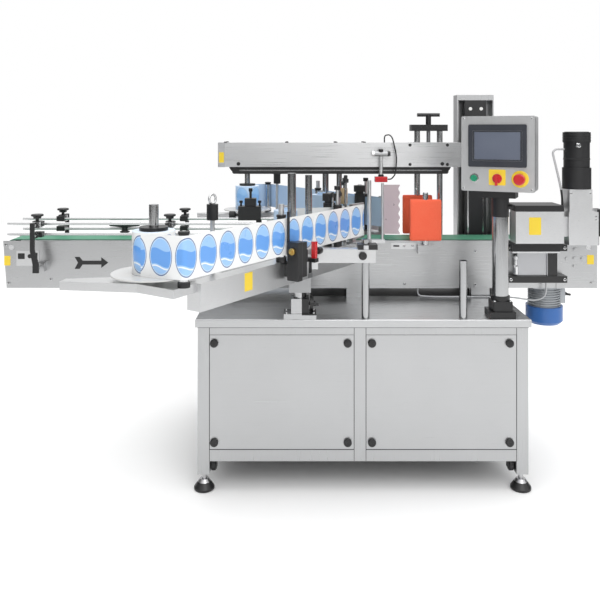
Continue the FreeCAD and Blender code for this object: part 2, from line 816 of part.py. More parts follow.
def make_traction():
    z1 = roller_high + 38
    profile = [(8 + running_fit, roller_low), (traction_radius + traction_rim, roller_low), (traction_radius + traction_rim, web_bottom - 8),
               (traction_radius, web_bottom - 6), (traction_radius, z1 - 34), (traction_radius - 5, z1 - 34),
               (traction_radius - 5, z1 - 26), (traction_radius + 3, z1 - 26), (traction_radius + 3, z1),
               (8 + running_fit, z1)]
    return turned(profile, traction_x, traction_t)


def make_column():
    base = block(column_x - column_base_long / 2, column_x + column_base_long / 2,
                 column_y - column_base_wide / 2, column_y + column_base_wide / 2,
                 table_top, table_top + column_base_thick)
    z0 = table_top + column_base_thick
    housing = block(column_x - 30, column_x + 30, column_y - 30, column_y + 30, z0, slide_block_bottom - head_travel_down - 6)
    pillar = rod(column_x, column_y, z0, column_rod_top, column_rod_radius)
    shape = joined([base, housing, pillar])
    shape = shape.cut(rod_x(column_x + 12, column_x + 31, column_y, wheel_z, 6 + running_fit))
    post = rod(post_x, post_y, table_top, post_top, post_radius)
    return [shape, post]


def make_spare_post():
    return rod(spare_post_x, post_y, table_top, spare_post_top, post_radius)


def make_handwheel():
    x0 = column_x + 14
    face = column_x + 30 + 4
    wheel = rod_x(face, face + wheel_thick, column_y, wheel_z, wheel_radius)
    groove = rod_x(face + wheel_thick - 4, face + wheel_thick + 1, column_y, wheel_z, wheel_radius - 5)
    hub = rod_x(face, face + wheel_thick + 6, column_y, wheel_z, 9)
    grip = rod_x(face + wheel_thick - 5, face + wheel_thick + 18, column_y - wheel_radius + 11, wheel_z, 4)
    return joined([wheel.cut(groove), hub, grip, rod_x(x0, face + 2, column_y, wheel_z, 6)])


def make_head(name, side):
    nip = nip_place()
    save("head_" + name, head_structure(side))
    save("web_" + name, make_web(side))
    save("reel_" + name, head_frame(make_reel(), side))
    save("roll_" + name, head_frame(make_roll(), side))
    save("idler_in_" + name, head_frame(web_roller(idler_x, idler_t, idler_radius, idler_pin_radius, roller_high, idler_rim), side))
    save("idler_out_" + name, head_frame(web_roller(guide_roller_x, guide_roller_t, idler_radius, 9, roller_high, idler_rim), side))
    save("traction_" + name, head_frame(make_traction(), side))
    save("nip_" + name, head_frame(nip_roller(nip[0], nip[1]), side))
    save("rewind_" + name, head_frame(make_rewind(), side))
    pillars = make_column()
    if side == front_side:
        pillars.append(make_spare_post())
    save("column_" + name, grouped([table_frame(piece, side) for piece in pillars]))
    save("handwheel_" + name, table_frame(make_handwheel(), side))
    print("nip", name, nip)


# Hold-down beam over the product, with its belt, rail and lift
hold_top = hold_beam_bottom + hold_beam_height
hold_half = hold_beam_wide / 2
pulley_z = hold_belt_bottom + hold_belt_thick + seat_gap + hold_pulley_radius
pulley_x = (beam_left + hold_pulley_inset, beam_right - hold_pulley_inset)
screw_x = (lift_rod_x[0] + lift_rod_x[1]) / 2
lift_block_bottom = hold_top - 24 - lift_bracket_high
carriage_right = column_left + column_wide - 12


def make_top_beam():
    shell = block(beam_left, beam_right, -hold_half, hold_half, hold_beam_bottom, hold_top)
    inside = block(beam_left + hold_wall, beam_right - hold_wall, -hold_half + hold_wall, hold_half - hold_wall,
                   hold_beam_bottom - 1, hold_top - hold_wall)
    shell = shell.cut(inside)
    pieces = [shell]
    bar_bottom = hold_belt_bottom + hold_belt_thick + 2 * seat_gap
    bar_top = bar_bottom + rail_bar_height
    x0 = pulley_x[0] + hold_pulley_radius + 12
    x1 = pulley_x[1] - hold_pulley_radius - 12
    pieces.append(block(x0, x1, -20, 20, bar_bottom, bar_top))
    for index in range(4):
        x = x0 + 30 + (x1 - x0 - 60) * index / 3
        pieces.append(block(x - 9, x + 9, -20, 20, bar_top - 1, pulley_z + 8))
        pieces.append(rod_y(x, -hold_half, hold_half, pulley_z, 6))
    block_front = hold_half - 1
    pieces.append(block(lift_rod_x[0] - lift_plate_side, lift_rod_x[1] + lift_plate_side, block_front,
                        lift_rod_y + 24, lift_block_bottom, lift_block_bottom + lift_bracket_high))
    pieces.append(block(lift_rod_x[1] + lift_plate_side - 4, carriage_right, block_front, column_front - seat_gap,
                        lift_block_bottom - 20, hold_top - 8))
    whole = joined(pieces)
    holes = [rod_y(x, -hold_half - 1, hold_half + 1, pulley_z, hold_axle_radius + running_fit) for x in pulley_x]
    holes += [rod(x, lift_rod_y, lift_block_bottom - 9, hold_top, lift_rod_radius + running_fit) for x in lift_rod_x]
    holes.append(rod(screw_x, lift_rod_y, lift_block_bottom - 9, hold_top, lift_screw_radius + running_fit))
    whole = bored(whole, holes)
    front = -hold_half
    arm = joined([block(sensor_x - 34, sensor_x + 34, front - 12, front, sensor_top - 10, sensor_top + 10),
                  rod_x(sensor_x - 34, sensor_x + 36, front - 18, sensor_top, 9),
                  rod(sensor_x, front - 18, sensor_bottom + 18, sensor_top, sensor_rod_radius),
                  block(sensor_x - 24, sensor_x + 24, front - 32, front - 6, sensor_bottom, sensor_bottom + 20)])
    y = -hold_half - 19
    top = hold_top
    low = sensor_bottom + 10
    end = sensor_x + 24
    cable = lead([(end - 5, -20, top), (end - 5, -20, top + 28), (end + 17, y + 3, top + 32), (end + 37, y - 3, top - 52),
                  (end + 31, y, low + 18), (end + 15, y, low), (end, y, low)], sensor_lead_radius)
    return grouped([joined([whole, arm]), cable])


def hold_pulley(x):
    drum = rod_y(x, -hold_belt_wide / 2, hold_belt_wide / 2, pulley_z, hold_pulley_radius)
    axle = rod_y(x, -hold_half - 3, hold_half + 3, pulley_z, hold_axle_radius)
    return joined([drum, axle])


def make_lift_rods():
    foot = block(lift_rod_x[0] - 26, lift_rod_x[1] + 26, half, lift_rod_y + 22, lift_foot_bottom, lift_foot_top)
    pieces = [foot]
    for x in lift_rod_x:
        pieces.append(rod(x, lift_rod_y, lift_foot_top - 2, lift_plate_bottom + 2, lift_rod_radius))
    pieces.append(block(lift_rod_x[0] - lift_plate_side, lift_rod_x[1] + lift_plate_side, lift_rod_y - 26,
                        lift_rod_y + 26, lift_plate_bottom, lift_plate_bottom + lift_plate_thick))
    hole = rod(screw_x, lift_rod_y, lift_plate_bottom - 1, lift_plate_bottom + lift_plate_thick + 1,
               lift_screw_radius + running_fit)
    return joined(pieces).cut(hole)


def make_lift_handle():
    base = lift_plate_bottom + lift_plate_thick + seat_gap
    screw = rod(screw_x, lift_rod_y, lift_block_bottom - lift_travel_down + 4, base + 1, lift_screw_radius)
    stem = rod(screw_x, lift_rod_y, base, base + handle_stem_high, handle_stem_radius)
    bar = rod_x(screw_x - handle_bar_half, screw_x + handle_bar_half, lift_rod_y, base + handle_stem_high - 2, handle_bar_radius)
    return joined([screw, stem, bar])


def make_lift_column():
    right = column_left + column_wide
    back = column_front + column_deep
    outer = block(column_left, right, column_front, back, table_top, column_top)
    inner = block(column_left + column_wall, right - column_wall, column_front - 1, back - column_wall,
                  table_top + 12, column_top - 22)
    shell = outer.cut(inner)
    mid = (column_left + right) / 2
    slide = block(mid - slide_wide / 2, mid + slide_wide / 2, column_front, column_front + slide_deep,
                  table_top + 12, column_top - 30)
    web = block(mid - 12, mid + 12, column_front + slide_deep - 1, back - column_wall, table_top + 12, column_top - 30)
    foot = block(column_left - 14, right + 14, column_front - 12, back + 20, table_top, table_top + 12)
    return joined([shell, slide, web, foot])


# Foam pads on upright pins beside the belt
def make_pad(sign):
    y0, y1 = sorted((sign * pad_face, sign * (pad_face + pad_thick)))
    y = sign * (pad_face + pad_thick / 2)
    foam = block(pad_x - pad_long / 2, pad_x + pad_long / 2, y0, y1, pad_bottom, pad_bottom + pad_high)
    edges = [e for e in foam.Edges if abs(e.CenterOfMass.z - pad_bottom - pad_high / 2) < 0.1]
    foam = foam.makeFillet(4.0, edges)
    foam = foam.cut(rod(pad_x, y, pad_bottom - 1, pad_bottom + pad_high + 1, pad_pin_radius))
    spindle = rod(pad_x, y, pad_pin_foot, pad_bottom + pad_high + pad_pin_over, pad_pin_radius)
    collar = rod(pad_x, y, pad_pin_foot + pad_lug_high + seat_gap, pad_bottom, pad_pin_radius + pad_collar_wall)
    collar = collar.cut(rod(pad_x, y, pad_pin_foot, pad_bottom + 1, pad_pin_radius))
    return grouped([foam, joined([spindle, collar])])


# Operator panel, drawn square at the post and then turned
box_z1 = hmi_bottom + hmi_high
face_y = hmi_y - hmi_front_offset
button_z = hmi_bottom + button_row


def hmi_frame(shape):
    shape.rotate(V(hmi_x, hmi_y, 0), V(0, 0, 1), hmi_turn)
    return shape


def make_hmi_post():
    z0 = table_top
    base = block(hmi_x - hmi_base_side / 2, hmi_x + hmi_base_side / 2, hmi_y - hmi_base_side / 2 + 4,
                 hmi_y + hmi_base_side / 2, z0, z0 + hmi_base_thick)
    step = hmi_block_side / 2
    socket = block(hmi_x - step, hmi_x + step, hmi_y - step, hmi_y + step, z0 + hmi_base_thick,
                   z0 + hmi_base_thick + hmi_block_high)
    collar_z = z0 + hmi_base_thick + hmi_block_high
    pieces = [base, socket.makeChamfer(4.0, socket.Edges[:4]),
              rod(hmi_x, hmi_y, collar_z, collar_z + hmi_collar_high, hmi_collar_radius),
              rod(hmi_x, hmi_y, collar_z, hmi_post_top, hmi_post_radius),
              rod(hmi_x, hmi_y, hmi_post_top - 1, hmi_bottom - hmi_plate_thick + 12, hmi_spigot_radius)]
    return joined(pieces)


def make_hmi_box():
    box = block(hmi_x - hmi_wide / 2, hmi_x + hmi_wide / 2, face_y, face_y + hmi_deep, hmi_bottom, box_z1)
    box = box.makeFillet(hmi_corner, [e for e in box.Edges if abs(e.CenterOfMass.y - face_y - hmi_deep / 2) < 0.1])
    box = box.cut(block(hmi_x - hmi_wide / 2 + hmi_wall, hmi_x + hmi_wide / 2 - hmi_wall, face_y + hmi_wall,
                        face_y + hmi_deep - hmi_wall, hmi_bottom + hmi_wall, box_z1 - hmi_wall))
    contacts = [rod_y(hmi_x + offset, face_y + 1, face_y + contact_depth, button_z, contact_radius)
                for offset in (start_offset, rotary_offset, stop_offset)]
    box = joined([box] + contacts)
    bezel_top = box_z1 - bezel_drop
    bezel = block(hmi_x - bezel_wide / 2, hmi_x + bezel_wide / 2, face_y - bezel_thick, face_y, bezel_top - bezel_high, bezel_top)
    mid = bezel_top - bezel_high / 2
    screen = block(hmi_x - screen_wide / 2, hmi_x + screen_wide / 2, face_y - bezel_thick - 1,
                   face_y - bezel_thick + screen_sunk, mid - screen_high / 2, mid + screen_high / 2)
    pieces = [box, bezel.cut(screen)]
    plate_y = face_y - 1.5
    pieces.append(rod_y(hmi_x + start_offset, face_y - 3, face_y, button_z, start_ring))
    pieces.append(block(hmi_x + rotary_offset - plate_side / 2, hmi_x + rotary_offset + plate_side / 2,
                        plate_y, face_y, button_z - 22, button_z + 30))
    pieces.append(rod_y(hmi_x + rotary_offset, face_y - 4, face_y, button_z, rotary_radius + 3))
    pieces.append(rod_y(hmi_x + stop_offset, face_y - 3, face_y, button_z, stop_ring_radius))
    low = hmi_bottom - hmi_plate_thick
    pieces.append(block(hmi_x - hmi_plate_long / 2, hmi_x + hmi_plate_long / 2, hmi_y - 36, hmi_y + 36, low, hmi_bottom))
    sleeve = rod(hmi_x, hmi_y, hmi_post_top + seat_gap, low + 1, hmi_collar_radius - 3)
    pieces.append(sleeve)
    pieces.append(rod_x(hmi_x + hmi_collar_radius - 8, hmi_x + hmi_collar_radius + 10, hmi_y, hmi_post_top + 34, 8))
    whole = joined(pieces)
    holes = [rod(hmi_x, hmi_y, hmi_post_top - 4, low + 14, hmi_spigot_radius + running_fit),
             rod_y(hmi_x + start_offset, face_y - 6, face_y + 24, button_z, start_radius + running_fit),
             rod_y(hmi_x + rotary_offset, face_y - 6, face_y + 16, button_z, 7 + running_fit),
             rod_y(hmi_x + stop_offset, face_y - 6, face_y + 26, button_z, 12 + running_fit)]
    return hmi_frame(bored(whole, holes))


def make_buttons():
    start = rod_y(hmi_x + start_offset, face_y - 3 - start_height, face_y + 16, button_z, start_radius)
    save("start_button", hmi_frame(start))
    x = hmi_x + rotary_offset
    knob = rod_y(x, face_y - 4 - seat_gap - 10, face_y - 4 - seat_gap, button_z, rotary_radius)
    grip = block(x - 4, x + 4, face_y - 4 - rotary_height, face_y - 12, button_z - rotary_radius - 9, button_z + rotary_radius)
    shaft = rod_y(x, face_y - 10, face_y + 12, button_z, 7)
    save("rotary_switch", hmi_frame(joined([knob, grip, shaft])))
    x = hmi_x + stop_offset
    y0 = face_y - 3 - stop_height
    head = rod_y(x, y0, y0 + 14, button_z, stop_radius)
    head = head.makeFillet(5.0, [e for e in head.Edges if abs(e.CenterOfMass.y - y0) < 0.1 and e.Length > 50])
    stem = rod_y(x, y0 + 13, face_y + 18, button_z, 12)
    save("stop_button", hmi_frame(joined([head, stem])))


# Wrap station: a belt round two pulleys that presses a label onto a round product
wrap_box_top = wrap_box_bottom + wrap_box_high
wrap_right = wrap_left + wrap_box_long
wrap_front = wrap_box_back - wrap_box_deep
bar_back = -conveyor_width / 2 - wrap_bar_gap
bar_front = bar_back - wrap_bar_deep
slide_rod_x = (wrap_left + 12, wrap_right - 14)
slide_rod_z = wrap_bar_zs[1] + wrap_bar_high / 2
wrap_belt_low = wrap_box_bottom + 12
wrap_lip = 6.0


def make_wrap_bars():
    pieces = []
    x1 = wrap_left - 6 + wrap_bar_long
    for z in wrap_bar_zs:
        pieces.append(block(wrap_left - 6, x1, bar_front, bar_back, z, z + wrap_bar_high))
        for x in (wrap_left + 30, wrap_right):
            pieces.append(block(x - 14, x + 14, bar_back, -half, z, z + wrap_bar_high))
    low = wrap_bar_zs[0] + wrap_bar_high
    pieces.append(block(wrap_left + 32, wrap_left + 142, bar_front + 10, bar_back - 16, low, wrap_bar_zs[1]))
    pieces.append(block(wrap_left + 142, wrap_left + 180, bar_front + 4, bar_back - 6, low, wrap_bar_zs[1]))
    whole = joined(pieces)
    return bored(whole, [rod_y(x, bar_front - 2, -half, slide_rod_z, 7 + running_fit) for x in slide_rod_x])


def make_wrap_carriage():
    pieces = [block(wrap_left, wrap_right, wrap_front, wrap_box_back, wrap_box_bottom, wrap_box_top)]
    pieces.append(block(wrap_left, wrap_right, wrap_front, wrap_pulley_y + 18, wrap_box_top, wrap_box_top + wrap_top_thick))
    pieces.append(block(wrap_left, wrap_right, wrap_box_back - 2, wrap_pulley_y + 12, wrap_box_bottom, wrap_box_bottom + wrap_lip))
    pieces.append(block(wrap_left, wrap_right, wrap_box_back - 30, wrap_box_back, slide_rod_z - 14, wrap_box_bottom))
    for x in slide_rod_x:
        pieces.append(rod_y(x, wrap_box_back - 2, bar_back + 4, slide_rod_z, 7))
    x0 = wrap_drive_x
    x1 = wrap_drive_x + wrap_drive_long
    pieces.append(block(x0, x1, wrap_front, wrap_front + 82, wrap_box_bottom, wrap_box_top - 2))
    pieces.append(block(wrap_right, x0, wrap_front + 12, wrap_front + 60, wrap_box_bottom + 30, wrap_box_top - 20))
    g = wrap_gear_side / 2
    y = wrap_front + g
    pieces.append(block(wrap_motor_x - g, wrap_motor_x + g, y - g, y + g, wrap_box_top - 2, wrap_gear_top))
    pieces.append(rod(wrap_motor_x, y, wrap_gear_top, wrap_lower_top, wrap_motor_radius + 5))
    pieces.append(rod(wrap_motor_x, y, wrap_lower_top, wrap_body_top, wrap_motor_radius))
    pieces.append(rod(wrap_motor_x, y, wrap_body_top, wrap_cap_top, wrap_motor_radius + 3))
    pieces.append(block(x1 - 2, x1 + 20, wrap_front + 14, wrap_front + 60, wrap_box_bottom + 30, wrap_box_top + 6))
    whole = joined(pieces)
    holes = [rod(x, wrap_pulley_y, wrap_box_bottom - 1, wrap_box_top + 14, 7 + running_fit) for x in wrap_pulley_x]
    return bored(whole, holes)


def wrap_pulley(x):
    top = wrap_belt_low + wrap_belt_high
    drum = rod(x, wrap_pulley_y, wrap_belt_low - 3, top + 3, wrap_pulley_radius)
    axle = rod(x, wrap_pulley_y, wrap_box_bottom, wrap_box_top + 13, 7)
    return joined([drum, axle])


# A lead: straight runs with arcs that touch both, as large as the runs allow
def lead(points, radius):
    path = [V(*p) for p in points]
    edges = []
    start = path[0]
    for before, corner, after in zip(path[:-2], path[1:-1], path[2:]):
        a = (before - corner)
        b = (after - corner)
        turn = math.pi - a.getAngle(b)
        reach = lead_share * min(a.Length, b.Length)
        a.normalize()
        b.normalize()
        bend = reach / math.tan(turn / 2)
        p0 = corner + a * reach
        p1 = corner + b * reach
        middle = (a + b).normalize()
        centre = corner + middle * (bend / math.cos(turn / 2))
        mid_point = centre - middle * bend
        edges.append(Part.LineSegment(start, p0).toShape())
        edges.append(Part.Arc(p0, mid_point, p1).toShape())
        start = p1
        print("lead radius", round(bend, 1))
    edges.append(Part.LineSegment(start, path[-1]).toShape())
    wire = Part.Wire(edges)
    direction = (path[1] - path[0]).normalize()
    ring = Part.Wire(Part.Circle(path[0], direction, radius).toShape())
    tube = wire.makePipeShell([ring], True, True)
    print("lead", round(tube.Volume), round(math.pi * radius * radius * wire.Length))
    return tube


def make_leads():
    terminal = motor_x + motor_radius + 12
    gland_x = terminal + 14
    gland_y = half - side_flange / 2
    outlet = side_bottom - 43
    motor_lead = lead([(gland_x, gland_y, side_bottom), (gland_x, gland_y, side_bottom - 24),
                 (gland_x + 9, gland_y - 17, side_bottom - 46), (gland_x + 22, 26, side_bottom - 52),
                 (terminal + 30, 0, outlet), (terminal, 0, outlet)], lead_radius)
    # the sensor lead lies on the table and rises to the lower wrap bar
    flat = table_top + thin_lead_radius + seat_gap
    inner = -half + side_flange / 2
    y = -half - wrap_bar_gap
    bar_y = y - wrap_bar_deep / 2
    table_lead = lead([(452, inner, side_bottom), (452, inner, flat), (505, y + 2, flat), (table_right - 45, y, flat),
                       (table_right + 20, y - 14, flat + 2.7), (wrap_left + 102, bar_y, flat - 10),
                       (wrap_left + 142, bar_y, flat + 5), (wrap_left + 142, bar_y, wrap_bar_zs[0])], thin_lead_radius)
    return grouped([motor_lead, table_lead])


# The wrap motor's lead, from the motor down to the block between the two boxes
def make_wrap_lead():
    y = wrap_front + wrap_gear_side / 2
    face = wrap_motor_x - wrap_motor_radius
    return lead([(face, y, wrap_lead_top), (face - 46, y, wrap_lead_top), (face - 22, y, wrap_lead_top - 100),
                 (wrap_drive_x - 9, y, wrap_lead_top - 170), (wrap_drive_x - 9, y, wrap_box_top - 20)], lead_radius)


def build():
    os.makedirs("parts", exist_ok=True)
    make_cabinet()
    make_conveyor()
    save("guide_front", make_guide(-1, front_arm_x))
    save("guide_rear", make_guide(1, rear_arm_x))
    make_head("front", front_side)
    make_head("rear", rear_side)
    save("top_beam", make_top_beam())
    save("hold_belt", loop_xz(pulley_x[0], pulley_x[1], pulley_z, hold_pulley_radius + seat_gap,
                              hold_belt_thick, -hold_belt_wide / 2, hold_belt_wide / 2))
    save("hold_pulley_left", hold_pulley(pulley_x[0]))
    save("hold_pulley_right", hold_pulley(pulley_x[1]))
    save("lift_rods", make_lift_rods())
    save("lift_handle", make_lift_handle())
    save("lift_column", make_lift_column())
    save("pad_front", make_pad(-1))
    save("pad_rear", make_pad(1))
    save("hmi_post", make_hmi_post())
    save("hmi_box", make_hmi_box())
    make_buttons()
    save("wrap_bars", make_wrap_bars())
    save("wrap_carriage", make_wrap_carriage())
    save("wrap_belt", loop_xy(wrap_pulley_x[0], wrap_pulley_x[1], wrap_pulley_y, wrap_pulley_radius + seat_gap,
                              wrap_belt_thick, wrap_belt_low, wrap_belt_low + wrap_belt_high))
    save("wrap_lead", make_wrap_lead())
    save("wrap_pulley_left", wrap_pulley(wrap_pulley_x[0]))
    save("wrap_pulley_right", wrap_pulley(wrap_pulley_x[1]))


build()
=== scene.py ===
# Labeling machine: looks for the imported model. Lengths in the helpers are in millimetres.
import math
import bmesh
import bpy
from mathutils import Matrix, Vector


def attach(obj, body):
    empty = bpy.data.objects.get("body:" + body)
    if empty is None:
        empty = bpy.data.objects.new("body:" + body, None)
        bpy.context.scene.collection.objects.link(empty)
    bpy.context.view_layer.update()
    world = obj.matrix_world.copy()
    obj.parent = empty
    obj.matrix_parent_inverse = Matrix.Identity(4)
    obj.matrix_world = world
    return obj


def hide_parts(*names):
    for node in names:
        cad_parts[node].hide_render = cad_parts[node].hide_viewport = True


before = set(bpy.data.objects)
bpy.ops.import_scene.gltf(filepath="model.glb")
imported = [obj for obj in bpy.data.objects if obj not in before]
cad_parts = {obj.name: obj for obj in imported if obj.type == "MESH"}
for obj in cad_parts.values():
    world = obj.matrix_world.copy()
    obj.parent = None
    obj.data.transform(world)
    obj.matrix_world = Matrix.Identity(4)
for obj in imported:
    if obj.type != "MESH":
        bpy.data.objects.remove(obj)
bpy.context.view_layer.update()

MM = 0.001
# stands a turned profile on a front face, pointing at -Y
FRONTWARD = Matrix(((1, 0, 0), (0, 0, -1), (0, 1, 0)))


# ---------------------------------------------------------------- node helpers
def linked(tree, source, target):
    tree.links.new(source, target)


def fed(tree, value, socket):
    if isinstance(value, (int, float, tuple)):
        socket.default_value = value
    else:
        linked(tree, value, socket)


def new_node(tree, kind, **settings):
    node = tree.nodes.new(kind)
    for name, value in settings.items():
        setattr(node, name, value)
    return node


def math_node(tree, operation, first, second=None, third=None, clamp=False):
    node = new_node(tree, "ShaderNodeMath", operation=operation, use_clamp=clamp)
    for socket, value in zip(node.inputs, (first, second, third)):
        if value is not None:
            fed(tree, value, socket)
    return node.outputs[0]


# places of the two inputs and the output on a mix node, by what it mixes
MIX_SOCKETS = {"RGBA": (6, 7, 2), "FLOAT": (2, 3, 0)}


def mixed(tree, factor, first, second, kind="RGBA"):
    node = new_node(tree, "ShaderNodeMix", data_type=kind)
    low, high, result = MIX_SOCKETS[kind]
    for index, value in ((0, factor), (low, first), (high, second)):
        fed(tree, value, node.inputs[index])
    return node.outputs[result]


def noise_node(tree, vector, detail, scale):
    node = new_node(tree, "ShaderNodeTexNoise")
    node.inputs["Detail"].default_value = detail
    linked(tree, vector, node.inputs["Vector"])
    fed(tree, scale, node.inputs["Scale"])
    return node.outputs[0]


def new_group(name, inputs, outputs):
    group = bpy.data.node_groups.new(name, "ShaderNodeTree")
    for label, kind, value in inputs:
        socket = group.interface.new_socket(label, in_out="INPUT", socket_type=kind)
        if value is not None:
            socket.default_value = value
    for label, kind in outputs:
        group.interface.new_socket(label, in_out="OUTPUT", socket_type=kind)
    start = new_node(group, "NodeGroupInput")
    end = new_node(group, "NodeGroupOutput")
    return group, start, end


# Fine parallel scratches with broad soft smudges over them
def brushed_group():
    group, start, end = new_group(
        "brushed grain",
        [("Colour", "NodeSocketColor", (0.8, 0.8, 0.8, 1)), ("Stretch", "NodeSocketVector", (1, 1, 1)),
         ("Grain", "NodeSocketFloat", 0.08), ("Roughness", "NodeSocketFloat", 0.35)],
        [("Colour", "NodeSocketColor"), ("Roughness", "NodeSocketFloat"), ("Height", "NodeSocketFloat")])
    place = new_node(group, "ShaderNodeTexCoord")
    scaled = new_node(group, "ShaderNodeVectorMath", operation="MULTIPLY")
    linked(group, place.outputs["Object"], scaled.inputs[0])
    linked(group, start.outputs["Stretch"], scaled.inputs[1])
    lines = noise_node(group, scaled.outputs[0], 3.0, 1.0)
    smudge = noise_node(group, place.outputs["Object"], 4.0, 5.0)
    centred = math_node(group, "SUBTRACT", lines, 0.5)
    shade = math_node(group, "MULTIPLY", centred, start.outputs["Grain"])
    soft = math_node(group, "MULTIPLY", math_node(group, "SUBTRACT", smudge, 0.5), 0.10)
    total = math_node(group, "ADD", shade, soft)
    bright = math_node(group, "ADD", total, 1.0)
    tint = new_node(group, "ShaderNodeVectorMath", operation="SCALE")
    linked(group, start.outputs["Colour"], tint.inputs[0])
    linked(group, bright, tint.inputs["Scale"])
    linked(group, tint.outputs[0], end.inputs["Colour"])
    uneven = math_node(group, "MULTIPLY", math_node(group, "ADD", centred, soft), 0.35)
    linked(group, math_node(group, "ADD", start.outputs["Roughness"], uneven), end.inputs["Roughness"])
    linked(group, lines, end.inputs["Height"])
    return group


# Moulded or painted surfaces: a fine orange-peel grain and faint dust
def moulded_group():
    group, start, end = new_group(
        "moulded skin",
        [("Colour", "NodeSocketColor", (0.05, 0.05, 0.05, 1)), ("Size", "NodeSocketFloat", 900.0),
         ("Dust", "NodeSocketFloat", 0.05), ("Roughness", "NodeSocketFloat", 0.5)],
        [("Colour", "NodeSocketColor"), ("Roughness", "NodeSocketFloat"), ("Height", "NodeSocketFloat")])
    place = new_node(group, "ShaderNodeTexCoord")
    fine = noise_node(group, place.outputs["Object"], 2.0, start.outputs["Size"])
    broad = noise_node(group, place.outputs["Object"], 5.0, 14.0)
    dusty = math_node(group, "MULTIPLY", broad, start.outputs["Dust"])
    linked(group, mixed(group, dusty, start.outputs["Colour"], (0.62, 0.60, 0.57, 1)), end.inputs["Colour"])
    rough = math_node(group, "MULTIPLY", math_node(group, "SUBTRACT", broad, 0.5), 0.25)
    linked(group, math_node(group, "ADD", start.outputs["Roughness"], rough), end.inputs["Roughness"])
    linked(group, fine, end.inputs["Height"])
    return group


# Oval labels printed one after another: UV runs in metres along and up the web
def label_group():
    group, start, end = new_group(
        "oval labels",
        [("Pitch", "NodeSocketFloat", 0.0805), ("Half width", "NodeSocketFloat", 0.036),
         ("Half height", "NodeSocketFloat", 0.052), ("Middle", "NodeSocketFloat", 0.059)],
        [("Colour", "NodeSocketColor"), ("Print", "NodeSocketFloat")])
    place = new_node(group, "ShaderNodeTexCoord")
    split = new_node(group, "ShaderNodeSeparateXYZ")
    linked(group, place.outputs["UV"], split.inputs[0])
    turns = math_node(group, "DIVIDE", split.outputs[0], start.outputs["Pitch"])
    part = math_node(group, "SUBTRACT", math_node(group, "FRACT", turns), 0.5)
    across = math_node(group, "MULTIPLY", part, start.outputs["Pitch"])
    upward = math_node(group, "SUBTRACT", split.outputs[1], start.outputs["Middle"])
    a = math_node(group, "DIVIDE", across, start.outputs["Half width"])
    b = math_node(group, "DIVIDE", upward, start.outputs["Half height"])
    reach = math_node(group, "SQRT", math_node(group, "ADD", math_node(group, "MULTIPLY", a, a),
                                               math_node(group, "MULTIPLY", b, b)))
    inside = math_node(group, "LESS_THAN", reach, 1.0)
    edge = math_node(group, "GREATER_THAN", reach, 0.94)
    field = math_node(group, "LESS_THAN", reach, 0.89)
    # wavy bands of blue: a generic sky and water field with a paler crest
    wave = math_node(group, "MULTIPLY", math_node(group, "SINE", math_node(group, "MULTIPLY", a, 3.1)), 0.09)
    level = math_node(group, "ADD", b, wave)
    deep = math_node(group, "MULTIPLY", math_node(group, "LESS_THAN", level, 0.34),
                     math_node(group, "GREATER_THAN", level, -0.46))
    crest = math_node(group, "COMPARE", level, -0.56, 0.035)
    sky = mixed(group, deep, (0.34, 0.58, 0.92, 1), (0.13, 0.36, 0.82, 1))
    sky = mixed(group, crest, sky, (0.90, 0.94, 0.98, 1))
    paper = (0.86, 0.87, 0.87, 1)
    body = mixed(group, field, (0.56, 0.72, 0.93, 1), sky)
    ring = mixed(group, edge, body, (0.13, 0.19, 0.36, 1))
    whole = mixed(group, inside, paper, ring)
    linked(group, whole, end.inputs["Colour"])
    linked(group, inside, end.inputs["Print"])
    return group


BRUSHED = brushed_group()
MOULDED = moulded_group()
LABELS = label_group()


def fresh_material(name):
    material = bpy.data.materials.new(name)
    material.use_nodes = True
    tree = material.node_tree
    shader = tree.nodes["Principled BSDF"]
    return material, tree, shader


def placed_group(tree, group, values):
    node = new_node(tree, "ShaderNodeGroup", node_tree=group)
    for name, value in values.items():
        node.inputs[name].default_value = value
    return node


def bumped(tree, shader, height, strength, depth=0.0004):
    bump = new_node(tree, "ShaderNodeBump")
    bump.inputs["Strength"].default_value = strength
    bump.inputs["Distance"].default_value = depth
    linked(tree, height, bump.inputs["Height"])
    linked(tree, bump.outputs[0], shader.inputs["Normal"])


def surfaced(name, group, values, strength):
    material, tree, shader = fresh_material(name)
    node = placed_group(tree, group, values)
    linked(tree, node.outputs["Colour"], shader.inputs["Base Color"])
    linked(tree, node.outputs["Roughness"], shader.inputs["Roughness"])
    bumped(tree, shader, node.outputs["Height"], strength)
    return material, shader


def metal(name, colour, stretch, grain=0.12, roughness=0.32, metallic=0.85, strength=0.12):
    values = {"Colour": (*colour, 1), "Stretch": stretch, "Grain": grain, "Roughness": roughness}
    material, shader = surfaced(name, BRUSHED, values, strength)
    shader.inputs["Metallic"].default_value = metallic
    return material


def plastic(name, colour, roughness=0.45, dust=0.05, size=900.0, strength=0.08, coat=0.0):
    values = {"Colour": (*colour, 1), "Size": size, "Dust": dust, "Roughness": roughness}
    material, shader = surfaced(name, MOULDED, values, strength)
    shader.inputs["Coat Weight"].default_value = coat
    return material


